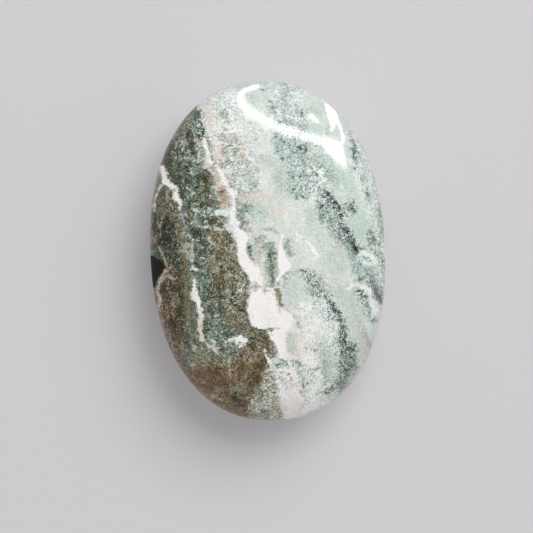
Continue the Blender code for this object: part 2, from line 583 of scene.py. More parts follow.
# The dark upper left, above the first white vein.
UPPER_LEFT: Features = (
    Spots(Tone(0.46, -0.35, 0.18), Rim.MISTY, ((-15.2, 20.2, 1.3, 1.6),)),
    Spots(Tone(0.71, -0.1, 0.16), Rim.MISTY, ((-19, 22.4, 1.6, 1.8), (-17.4, 26.6, 1, 1))),
    Spots(Tone(0.44, 0.2, 0.15), Rim.GRAINY, (
        (-14.7, 27.8, 1.3, 2.4), (-14.4, 23.6, 1.2, 2.6), (-13.2, 31, 0.8, 1.6),
    )),
    Spots(Tone(0.38, -1.2, 0.34), Rim.MISTY, ((-14.2, 29.4, 1, 3), (-13.1, 26.8, 1, 1.2))),
    Spots(Tone(0.14, 0.4, 0.09), Rim.GRAINY, ((-12.3, 31.8, 0.9, 2.6), (-12.7, 28, 0.4, 1))),
    Spots(Tone(0.78, 0.1, 0.12), Rim.GRAINY, (
        (-21.6, 22.4, 1.1, 3), (-16.3, 24.8, 0.5, 1.8), (-19.8, 21.4, 0.6, 1.2),
        (-20.6, 24.6, 0.7, 1.2, -20), (-16.5, 27.1, 0.8, 0.5), (-18.1, 26.2, 0.3, 0.4),
        (-17.6, 24.1, 0.4, 0.7), (-22.6, 20.4, 0.6, 0.7),
    )),
    Spots(Tone(0.68, 1.1, 0.08), Rim.GRAINY, (
        (-18.8, 27.1, 0.9, 0.5), (-17.7, 25.2, 0.5, 0.6), (-19.3, 19.4, 0.7, 0.4),
        (-21.4, 23.6, 0.4, 0.5),
    )),
    Spots(Tone(0.45, 1.2, 0.08), Rim.GRAINY, (
        (-16.1, 31.2, 0.7, 0.6), (-14.7, 25.8, 0.5, 0.35, -30), (-13.7, 23.6, 0.5, 0.3, -30),
        (-11.4, 20.4, 0.4, 1.1, -14), (-11.9, 19.4, 0.8, 0.4), (-9.6, 20.3, 0.5, 0.5),
        (-9.2, 23.3, 0.5, 0.9, 20),
    )),
    Spots(Tone(0.62, -1.6, 0.06), Rim.GRAINY, (
        (-14.6, 32.2, 0.9, 0.8), (-15.2, 29, 0.25, 0.8), (-15.1, 30.3, 0.25, 0.4),
    )),
    Spots(Tone(0.36, -0.5, 0.1), Rim.GRAINY, (
        (-18.5, 25.8, 0.9, 0.8, 20), (-17.3, 22.1, 1.1, 0.5), (-16.1, 19.4, 0.7, 0.8),
    )),
    Spots(Tone(0.22, 0.4, 0.05), Rim.CRUMBLED, (
        (-19.7, 25.3, 0.75, 0.16, 62), (-20.2, 22.4, 0.3, 0.3), (-17, 23.6, 0.35, 0.3),
        (-14.9, 21.2, 0.3, 0.3), (-13.9, 19.9, 0.2, 0.9, -25), (-18.3, 24.6, 0.2, 0.4),
        (-16.8, 18.8, 0.25, 0.2),
    )),
    Spots(Tone(0.9, -0.2, 0.05), Rim.CRUMBLED, (
        (-16.8, 28.2, 0.35, 0.5), (-13.4, 28.6, 0.25, 0.3), (-14.6, 28.6, 0.15, 0.7),
        (-12.9, 26.1, 0.25, 0.35), (-12.3, 25.7, 0.35, 0.2), (-13.9, 29.6, 0.2, 0.35),
        (-13.6, 27.4, 0.15, 0.3), (-14.2, 26.7, 0.2, 0.15),
    ), 0.85),
    Seam(Tone(0.55, -0.6, 0.16), Rim.GRAINY, (
        (25.6, -12.5, -11.9), (24.5, -12.6, -11.6), (23, -12.3, -11.3), (22, -12.2, -11.5),
        (21.4, -12, -11.6),
    )),
    Spots(Tone(0.13, 0.9, 0.07), Rim.MISTY, ((-10.7, 24, 0.7, 2.2),)),
    Spots(Tone(0.3, 0.8, 0.08), Rim.GRAINY, (
        (-8.7, 32, 0.7, 0.8), (-7.6, 30, 0.9, 0.4), (-8.3, 26.2, 0.9, 0.4), (-6.4, 25.9, 0.6, 0.7),
        (-8.4, 22.2, 0.4, 0.4), (-5.3, 23.7, 0.9, 0.3, -25), (-4.8, 21.8, 0.7, 0.9),
        (-9.7, 26.7, 0.5, 0.15), (-3.8, 18.6, 1.5, 0.35), (-3.2, 14, 1, 0.6), (-4.7, 12.8, 1, 0.35),
        (-6.7, 17.7, 0.5, 0.4),
    )),
    Spots(Tone(0.42, -1, 0.1), Rim.GRAINY, (
        (-6.4, 22.9, 0.7, 0.7), (-7.7, 20.9, 0.4, 0.5), (-5.4, 20.9, 0.4, 0.3), (-7.7, 15.1, 0.4, 0.35),
        (-8.4, 16.2, 0.3, 0.5), (-2.3, 15.2, 0.6, 0.9), (-8, 28.5, 0.3, 0.25), (-7.3, 24.6, 0.3, 0.3),
        (-5.5, 17.6, 0.3, 0.3),
    ), 0.9),
    Spots(Tone(0.45, -1.7, 0.06), Rim.CRUMBLED, ((-10.2, 31.3, 0.2, 0.8, -8), (-10.1, 32.7, 0.15, 0.3))),
    Spots(Tone(0.38, 1.5, 0.05), Rim.CRUMBLED, (
        (-1.7, 16, 0.25, 0.5), (-2.4, 17.8, 0.3, 0.2), (-3.8, 20.6, 0.25, 0.2),
    )),
)

# The dark zone from the second white vein down to the waist of the stone.
MIDDLE_LEFT: Features = (
    Spots(Tone(0.6, 0.25, 0.17), Rim.CLOUD, ((-13.6, -12, 1.4, 6),), 0.8),
    Spots(Tone(0.72, 0, 0.17), Rim.MISTY, (
        (-16, -0.4, 0.9, 1.8), (-17.4, 8.6, 1.6, 1.6), (-18.2, 14.2, 1.4, 1.6), (-13.6, 0.4, 0.6, 1.4),
    )),
    Spots(Tone(0.44, -0.1, 0.15), Rim.MISTY, (
        (-12.7, -18, 1.4, 2), (-12.2, -21, 2.8, 1.2), (-15.4, -4.4, 0.8, 1.6), (-15, 19.2, 0.8, 0.8),
    )),
    Spots(Tone(0.79, 0.1, 0.1), Rim.GRAINY, (
        (-19.9, 17.6, 1, 0.9), (-16.5, 12.3, 1.3, 0.7), (-19, 13.4, 0.6, 0.6), (-17.6, 9.3, 0.8, 0.5),
        (-15, 17.6, 0.4, 0.5), (-18.2, 10.6, 0.6, 0.3), (-17, 6, 0.8, 0.35, 20), (-18.4, 15.1, 0.7, 0.3),
        (-15.7, 5, 0.6, 0.7), (-16.9, 4.6, 0.3, 0.6), (-20.6, 16.7, 0.6, 0.5), (-18.1, 8.1, 0.25, 0.45),
        (-15.4, 2.9, 0.7, 0.4), (-16.3, -2.7, 0.4, 0.5), (-15, 0.6, 0.4, 0.5),
    )),
    Spots(Tone(0.7, 0.5, 0.13), Rim.GRAINY, (
        (-13.4, 17, 0.9, 1.5), (-13.4, 14.4, 0.7, 1.4), (-13.7, 12.2, 0.4, 0.9), (-12.2, 7.3, 1.2, 0.8),
        (-11.7, 3.6, 1, 1.2), (-10.6, 2.8, 0.8, 0.9), (-11.6, 11.8, 0.7, 0.5, 25),
    )),
    Spots(Tone(0.62, 0.9, 0.1), Rim.GRAINY, (
        (-13.3, 4.2, 0.9, 0.5), (-11.4, 11, 0.7, 0.22, 25), (-10.4, 13.9, 0.3, 0.4),
    )),
    Spots(Tone(0.44, -0.9, 0.1), Rim.GRAINY, (
        (-16, 16.2, 0.6, 1), (-14.3, 12.4, 0.35, 1.5), (-16.4, 14.6, 0.9, 0.4, 20), (-14.9, 8.6, 1, 0.5),
        (-13.9, 7.3, 0.4, 0.6), (-11.6, 15.3, 0.5, 0.6), (-11.5, 13.4, 0.5, 1), (-16.4, 7.6, 1, 1),
        (-12.9, 10.4, 1, 0.5), (-15.2, 10.2, 1.2, 0.4), (-9.1, 7.6, 0.6, 0.6), (-13.9, -1.6, 0.5, 0.8),
        (-17.9, 12, 0.5, 0.2, 20),
    ), 0.9),
    Spots(Tone(0.1, -0.3, 0.08), Rim.GRAINY, (
        (-10.6, 9.4, 2, 0.55, 4), (-13.4, 9.9, 0.9, 0.3, 10), (-11.3, 5.6, 1, 0.4),
        (-13.9, 6.1, 0.35, 0.25),
    )),
    Spots(Tone(0.16, 0.1, 0.06), Rim.CRUMBLED, (
        (-16.2, 10.2, 0.5, 0.25), (-17.3, 9.6, 0.6, 0.14, 8), (-18.5, 9.2, 0.4, 0.12, -30),
        (-13.2, 10.3, 0.3, 0.3), (-18.6, 17, 0.25, 0.28), (-15.8, 13.8, 0.4, 0.25),
        (-15.5, 11.65, 0.2, 0.18), (-16, 11.65, 0.2, 0.18), (-16.6, 13.9, 1.2, 0.14, 28),
        (-17.6, 15.2, 0.6, 0.12, -22), (-16.3, 8.5, 0.12, 0.9), (-12.8, 13.2, 0.2, 0.18),
        (-17.3, 7.2, 0.4, 0.2), (-14, 7.5, 0.3, 0.25), (-13.2, 3.6, 0.25, 0.2), (-16.7, 18.8, 0.2, 0.16),
        (-12.4, 5, 0.2, 0.2), (-17.1, 3.4, 0.25, 0.3), (-16, 3.2, 0.15, 0.15), (-14.9, 1.4, 0.2, 0.2),
        (-15.1, -0.9, 0.3, 0.15), (-12.6, 2.4, 0.6, 0.14, -40),
    )),
    Spots(Tone(0.28, 0.15, 0.06), Rim.CRUMBLED, ((-15.8, 7.3, 0.72, 0.68),)),
    Spots(Tone(0.75, -0.5, 0.06), Rim.CRUMBLED, ((-15.8, 7.2, 0.28, 0.24),)),
    Spots(Tone(0.5, 0.5, 0.1), Rim.GRAINY, ((-15.8, 8.1, 0.4, 0.3),)),
    Spots(Tone(0.93, -0.6, 0.05), Rim.CRUMBLED, (
        (-13.1, 11.2, 0.5, 0.2, -35), (-19, 10.5, 0.35, 0.7), (-9.8, 14.1, 0.2, 0.2),
        (-13.3, 13, 0.2, 0.2), (-15.7, 15.3, 0.4, 0.15),
    ), 0.85),
    Spots(Tone(0.3, 0.6, 0.1), Rim.GRAINY, (
        (-12.6, -1, 0.6, 1.1), (-12, -3.6, 0.9, 0.7), (-8, 0.3, 0.5, 1.6), (-12.6, -4.9, 0.4, 0.3),
        (-9.2, -5.1, 0.5, 0.3),
    ), 0.8),
    Spots(Tone(0.18, 0.5, 0.06), Rim.CRUMBLED, (
        (-11.2, 1.1, 1, 0.22), (-11.9, 0.5, 0.25, 0.4), (-10.2, -3.2, 0.3, 0.3), (-10.9, -2.4, 0.4, 0.25),
    )),
    Spots(Tone(0.66, 0.75, 0.1), Rim.GRAINY, (
        (-10.9, -0.4, 1.2, 1.5), (-12.2, -7.5, 0.7, 1.9), (-8.9, -15, 2, 1.2),
    )),
    Spots(Tone(0.7, 0.75, 0.1), Rim.GRAINY, (
        (-6.1, -11.8, 0.8, 1), (-10.8, -6, 0.4, 1.6), (-12.1, -9.2, 0.8, 0.4), (-7.4, -16.9, 1.2, 0.7),
    )),
    Spots(Tone(0.42, 0.35, 0.2), Rim.MISTY, ((-8.6, -10.2, 1.4, 2.2), (-6.2, -7, 0.9, 1.8)), 0.8),
    Spots(BLACK, Rim.CRUMBLED, (
        (-8.7, -3.9, 0.5, 0.4), (-10.8, -7.9, 0.25, 0.5), (-11.6, -10, 0.8, 0.16),
        (-8.6, -9.7, 0.25, 0.25), (-10.5, 1, 0.3, 0.2, -50), (-10.7, -3.4, 0.15, 0.5),
        (-6.4, -13.4, 0.5, 0.25, -30), (-8.9, -11.3, 0.25, 0.2), (-12.7, -4.8, 0.2, 0.16),
    ), 0.8),
    Spots(Tone(0.74, -0.5, 0.1), Rim.GRAINY, (
        (-11.7, -12.8, 0.45, 2.4), (-15.9, -10.4, 0.7, 0.3), (-13.8, -13.2, 0.3, 1),
        (-14.6, -17.4, 0.6, 0.5), (-11.4, -16.6, 0.5, 0.7),
    )),
    Spots(Tone(0.28, 0.1, 0.06), Rim.CRUMBLED, (
        (-12.6, -11.7, 0.2, 0.5, 25), (-13.1, -10.8, 0.5, 0.15), (-14.9, -12, 0.2, 0.3),
        (-12.4, -14.3, 0.3, 0.2), (-14.7, -6.3, 0.5, 0.3), (-15.8, -7.4, 0.3, 0.6),
        (-9.3, -12.6, 0.25, 0.3), (-10.8, -11.2, 0.3, 0.2), (-9.8, -8.9, 0.2, 0.25),
    ), 0.85),
    Spots(Tone(0.5, -1.1, 0.1), Rim.MISTY, ((-15.7, -7.2, 0.6, 1.4),)),
)

# The strip of olive and umber rock along the left rim.
LEFT_STRIP: Features = (
    Spots(Tone(0.72, 1.5, 0.15), Rim.MISTY, ((-24.2, -15.5, 1.3, 4.5, 10),)),
    Spots(Tone(0.68, 1.1, 0.15), Rim.MISTY, ((-21.8, -20.5, 1.4, 2.4, 15),)),
    Spots(Tone(0.63, 0.9, 0.08), Rim.GRAINY, (
        (-21, 12.6, 1, 0.7, -25), (-24.2, 11.6, 0.5, 1.6), (-20.2, 7.6, 0.6, 0.9), (-21.5, 8.6, 0.8, 0.5),
    )),
    Spots(Tone(0.76, 0.45, 0.08), Rim.GRAINY, (
        (-23, 14.6, 0.3, 0.9), (-22.6, 11.2, 0.6, 0.5), (-25.1, 13, 0.25, 1.2), (-23.4, 12.9, 0.3, 0.5),
    )),
    Spots(Tone(0.92, 0.3, 0.06), Rim.GRAINY, (
        (-25.4, 7.9, 0.45, 1.5), (-23, 8.6, 0.4, 0.8), (-24.6, 4.2, 0.6, 1.2), (-22.6, 3.6, 0.5, 1),
        (-23.9, 6.2, 0.4, 0.6),
    )),
    Spots(Tone(0.4, 0.35, 0.06), Rim.CRUMBLED, (
        (-22.5, 13.9, 0.3, 1), (-23.6, 8.8, 1.4, 0.16, 64), (-22, 11.2, 1, 0.22, 52),
        (-24.8, 7.4, 0.12, 1.6, 6), (-20.6, 6, 0.16, 1.2),
    )),
    Seam(Tone(0.45, 0.6, 0.09), Rim.GRAINY, (
        (9.4, -20.2, -19.2), (8.4, -20, -19), (7, -19.6, -18.8), (5, -19.8, -18.4), (3.4, -19.6, -18),
    ), 0.7),
    Seam(Tone(0.36, 0.5, 0.07), Rim.GRAINY, (
        (2.6, -19.2, -17.7), (1, -19.6, -17.6), (-0.4, -19.6, -17.5), (-1.6, -19.2, -17.5),
    )),
    Spots(Tone(0.64, 1.1, 0.07), Rim.GRAINY, (
        (-19.4, -0.4, 0.6, 0.5), (-19.6, -6.8, 0.3, 1.2), (-19.2, 3.6, 0.4, 0.5),
    )),
    Seam(Tone(0.6, 0.5, 0.12), Rim.CRUMBLED, (
        (-1.6, -19.9, -18), (-4, -20, -18.1), (-7, -20, -18.1), (-8.6, -19.8, -18.4),
    )),
    Seam(Tone(0.6, -0.5, 0.06), Rim.CRUMBLED, (
        (-3, -19, -18.6), (-5, -19.1, -18.3), (-7.2, -18.9, -18.4),
    ), 0.8),
    Spots(Tone(0.36, 0.2, 0.07), Rim.GRAINY, (
        (-19.3, -8.6, 0.9, 0.5, -15), (-19.8, 0.9, 0.6, 0.3, -30), (-17.7, -5.4, 0.5, 0.6),
    )),
    Seam(Tone(0.59, 0.05, 0.06), Rim.CRUMBLED, (
        (-9.6, -18.9, -18.5), (-10.6, -19.1, -17.6), (-12, -19.3, -17.1), (-14, -19.4, -16.9),
        (-16, -19.2, -17.3), (-18, -19, -17.6), (-20, -19.2, -18.2),
    )),
    Spots(Tone(0.7, -0.45, 0.05), Rim.GRAINY, (
        (-18.3, -13.5, 0.3, 2.6), (-19.6, -19.4, 0.6, 1.2), (-20.6, -6.2, 0.35, 1.6),
        (-20.8, -12, 0.3, 1.4),
    )),
    Seam(Tone(0.58, 1.3, 0.06), Rim.CRUMBLED, (
        (-9, -19.6, -19.2), (-10, -19.7, -19.1), (-12, -19.7, -19.1), (-13.6, -19.7, -19.3),
        (-15, -19.8, -19.5),
    ), 0.9),
    Spots(Tone(0.46, 1.35, 0.08), Rim.CRUMBLED, (
        (-23, -8.6, 0.2, 1, 30), (-22.3, -11, 0.3, 0.6), (-22.6, -13.6, 0.25, 0.9),
        (-23.9, -11.6, 0.2, 0.8, 10), (-23.6, -6.5, 0.4, 0.2), (-21.4, -8.8, 0.15, 0.6, -20),
    ), 0.7),
    Spots(Tone(0.4, 0, 0.06), Rim.CRUMBLED, (
        (-21.2, -5.2, 0.2, 0.3), (-21.2, -14.6, 0.6, 0.2, 30), (-21, -10.4, 0.2, 0.6),
    ), 0.7),
    Spots(Tone(0.88, 0.6, 0.05), Rim.GRAINY, (
        (-22.6, -4.2, 0.4, 0.5), (-24.2, -7.6, 0.4, 0.7), (-24.4, -9.3, 0.4, 0.5),
        (-23.7, -10.3, 0.3, 0.5), (-20.9, -13, 0.4, 0.8), (-22.4, -6.6, 0.25, 0.4),
        (-21.6, -0.8, 0.4, 0.8), (-23, -15, 0.5, 0.3), (-21.9, -17.6, 0.5, 0.4),
    )),
    Spots(Tone(0.46, 1.7, 0.06), Rim.GRAINY, (
        (-26.2, -13.6, 0.5, 2.4, -6), (-25.6, -16.5, 0.4, 1.2, -15),
    ), 0.8),
)

# The dark lower left, with painted shade along the lower rim.
LOWER_LEFT: Features = (
    Spots(Tone(0.43, -0.15, 0.16), Rim.MISTY, ((-12.2, -21, 2.4, 1.2),)),
    Spots(Tone(0.48, 0.9, 0.06), Rim.GRAINY, (
        (-18.3, -19.6, 0.4, 0.9), (-21, -20.6, 0.4, 0.5), (-17, -22.4, 0.8, 0.4),
    )),
    Spots(Tone(0.7, -0.3, 0.07), Rim.GRAINY, (
        (-19.4, -22.8, 0.8, 0.5), (-15.6, -20.8, 0.5, 0.5), (-18.6, -21.5, 0.4, 0.3),
        (-20.2, -24.2, 0.5, 0.4),
    )),
    Spots(Tone(0.36, 0.9, 0.05), Rim.CRUMBLED, (
        (-18.4, -25.3, 0.35, 0.4), (-15.6, -25.7, 0.4, 0.3), (-14.2, -32.8, 1, 0.5, -15),
        (-12.8, -33.5, 0.8, 0.25, -20),
    )),
    # The oval at -10.6, -36 runs along the lower rim: a dark reddish band of painted shade there. The others
    # are brown spots of the rock.
    Spots(Tone(0.65, 1.3, 0.06), Rim.MISTY, (
        (-11.8, -28.4, 1.8, 1), (-15.4, -27.2, 0.8, 0.7), (-10.6, -36, 3, 0.9, -24),
    )),
    Spots(Tone(0.76, 1.0, 0.06), Rim.GRAINY, (
        (-14, -29.8, 0.9, 0.2, -35), (-13.4, -30.8, 0.25, 0.5), (-17.7, -28.2, 0.4, 0.4),
        (-7, -26, 0.5, 0.7), (-5.6, -27.8, 0.3, 0.5), (-3.4, -29.4, 0.7, 0.7), (-4.8, -21.4, 0.6, 0.4),
        (-9.2, -25.6, 0.4, 0.4), (-2.9, -26.8, 0.4, 0.7), (-6.9, -29.6, 0.5, 0.25, 20),
        (-8.6, -35.4, 1.2, 0.5, -20), (-4.2, -31.4, 0.4, 0.7),
    )),
    Spots(Tone(0.4, 0.9, 0.06), Rim.CRUMBLED, (
        (-5.4, -25.9, 0.35, 0.2), (-4.6, -25.1, 0.5, 0.14, 20), (-3.9, -24, 0.2, 0.4),
        (-12.2, -25.6, 0.4, 0.3), (-16.2, -29.4, 0.3, 0.3),
    ), 0.8),
    Spots(Tone(0.44, -0.2, 0.08), Rim.GRAINY, (
        (-4, -32.8, 0.6, 1.3), (-2.3, -28.2, 0.4, 0.6), (-3.4, -35.5, 1, 0.5), (-2.2, -37.6, 1.4, 0.6),
        (-13, -31.4, 0.8, 0.5),
    )),
    Spots(Tone(0.84, -1.0, 0.05), Rim.CRUMBLED, (
        (-9.5, -33.3, 0.7, 0.4, 20), (-8.9, -34, 0.4, 0.25), (-8.7, -32.3, 0.35, 0.2),
        (-7.6, -32.9, 0.3, 0.2), (-11.2, -30.1, 0.25, 0.25),
    )),
    Spots(Tone(0.68, 0.5, 0.12), Rim.GRAINY, (
        (-2.2, -19.4, 1.3, 1.4), (-1.3, -21.8, 0.7, 1.4), (-2.6, -17.9, 0.5, 0.3),
        (-1.2, -24.2, 0.6, 0.4, -30),
    )),
    Spots(Tone(0.68, 2, 0.05), Rim.GRAINY, ((-1.1, -21.4, 0.4, 0.5), (-4.1, -18.6, 0.5, 0.3))),
    Spots(Tone(0.45, 0.6, 0.14), Rim.GRAINY, (
        (0.3, -22.4, 1, 2.2), (-0.6, -24.2, 0.9, 0.6), (-2, -36, 0.5, 0.5),
    )),
    Spots(BLACK, Rim.CRUMBLED, ((-0.4, -19.4, 0.3, 0.18), (-4.7, -20, 0.3, 0.2)), 0.8),
)

# Greener and greyer pockets in the pale middle, and the spots around the big white patch.
MIDDLE: Features = (
    Seam(Tone(0.28, -0.3, 0.08), Rim.GRAINY, (
        (1.8, -1.2, 1.6), (0, -1.2, 2), (-2, -0.9, 2.2), (-4, -1, 2.3), (-5.5, -0.8, 2.2),
        (-7, -0.4, 1.3), (-8.3, 0, 1.1),
    )),
    Spots(Tone(0.56, 0.75, 0.06), Rim.GRAINY, (
        (0.7, -6, 0.6, 2.1), (1.4, -1, 0.5, 1.1), (0.9, -3.6, 0.5, 0.8),
    )),
    Spots(Tone(0.68, -1.1, 0.08), Rim.GRAINY, (
        (0.5, -1, 0.4, 0.6), (0.3, -2.1, 0.5, 0.3), (-0.1, -3.7, 0.25, 0.25), (0.1, 1.1, 0.4, 0.3),
    )),
    Spots(Tone(0.66, 1.2, 0.05), Rim.CRUMBLED, (
        (1, -2.4, 0.3, 0.35), (0.2, -4.6, 0.3, 0.3), (1.1, -4.2, 0.2, 0.5),
    ), 0.8),
    Spots(Tone(0.28, -0.6, 0.06), Rim.GRAINY, (
        (-0.5, -7.9, 0.6, 0.8), (2, -5.4, 0.5, 1.1), (-0.6, -4.4, 0.4, 1.2), (2, -7.6, 0.5, 0.6),
    )),
    Spots(Tone(0.38, -1.2, 0.1), Rim.GRAINY, ((-5.1, 9.4, 1.6, 1.3), (4.9, -0.6, 0.8, 0.9))),
    Spots(Tone(0.56, -1.4, 0.07), Rim.GRAINY, (
        (-3.9, 9.4, 0.3, 0.9), (-4.4, 10.3, 0.5, 0.25, -30), (-5.7, 9.1, 0.25, 0.4),
    )),
    Spots(Tone(0.36, 0.2, 0.08), Rim.GRAINY, (
        (-5.3, 7.4, 1.3, 0.9), (-5.6, 5.5, 0.7, 0.6), (-1.6, 2.8, 1.1, 0.7), (4.6, 1.1, 0.7, 1.4),
        (0.4, 5, 0.8, 0.35), (-3.9, 4.9, 0.5, 0.35), (-1, 1.1, 1.2, 0.6),
    )),
    Spots(Tone(0.55, 0.15, 0.06), Rim.GRAINY, (
        (-6.6, 12, 0.25, 0.6), (-6.9, 8.2, 0.3, 0.5), (-6.1, 5.5, 0.25, 0.5), (-4.9, 6.8, 0.5, 0.25),
        (-6.6, 10.5, 0.2, 0.2),
    )),
    Spots(Tone(0.21, -0.4, 0.05), Rim.MISTY, (
        (-1.3, 8.8, 1.2, 1.9), (3.6, 16.4, 1.4, 3), (-3.6, 16.8, 1.6, 1.6), (0.2, 20.6, 1.5, 1),
    )),
    Spots(Tone(0.52, -0.6, 0.14), Rim.GRAINY, ((-4.3, 0.6, 0.55, 1.6, 6), (-3.5, -1.9, 0.4, 0.9, 20))),
    Spots(Tone(0.23, 0.35, 0.05), Rim.GRAINY, ((-2.4, -0.9, 0.9, 1.9),)),
    Spots(Tone(0.09, 0, 0.05), Rim.GRAINY, (
        (-2, 6.9, 0.25, 0.7, -25), (-4.3, 8.2, 0.4, 0.7), (5.3, 10.6, 0.3, 0.2), (-5.2, 16.8, 0.6, 0.5),
        (-2.4, 12.8, 1.2, 0.2, 10),
    )),
    Spots(Tone(0.33, -1.2, 0.05), Rim.CRUMBLED, (
        (4.3, -14.3, 0.5, 0.14, -48), (1.9, 4.3, 0.7, 0.12, -35), (3, 3.1, 0.4, 0.12, -50),
    ), 0.7),
)

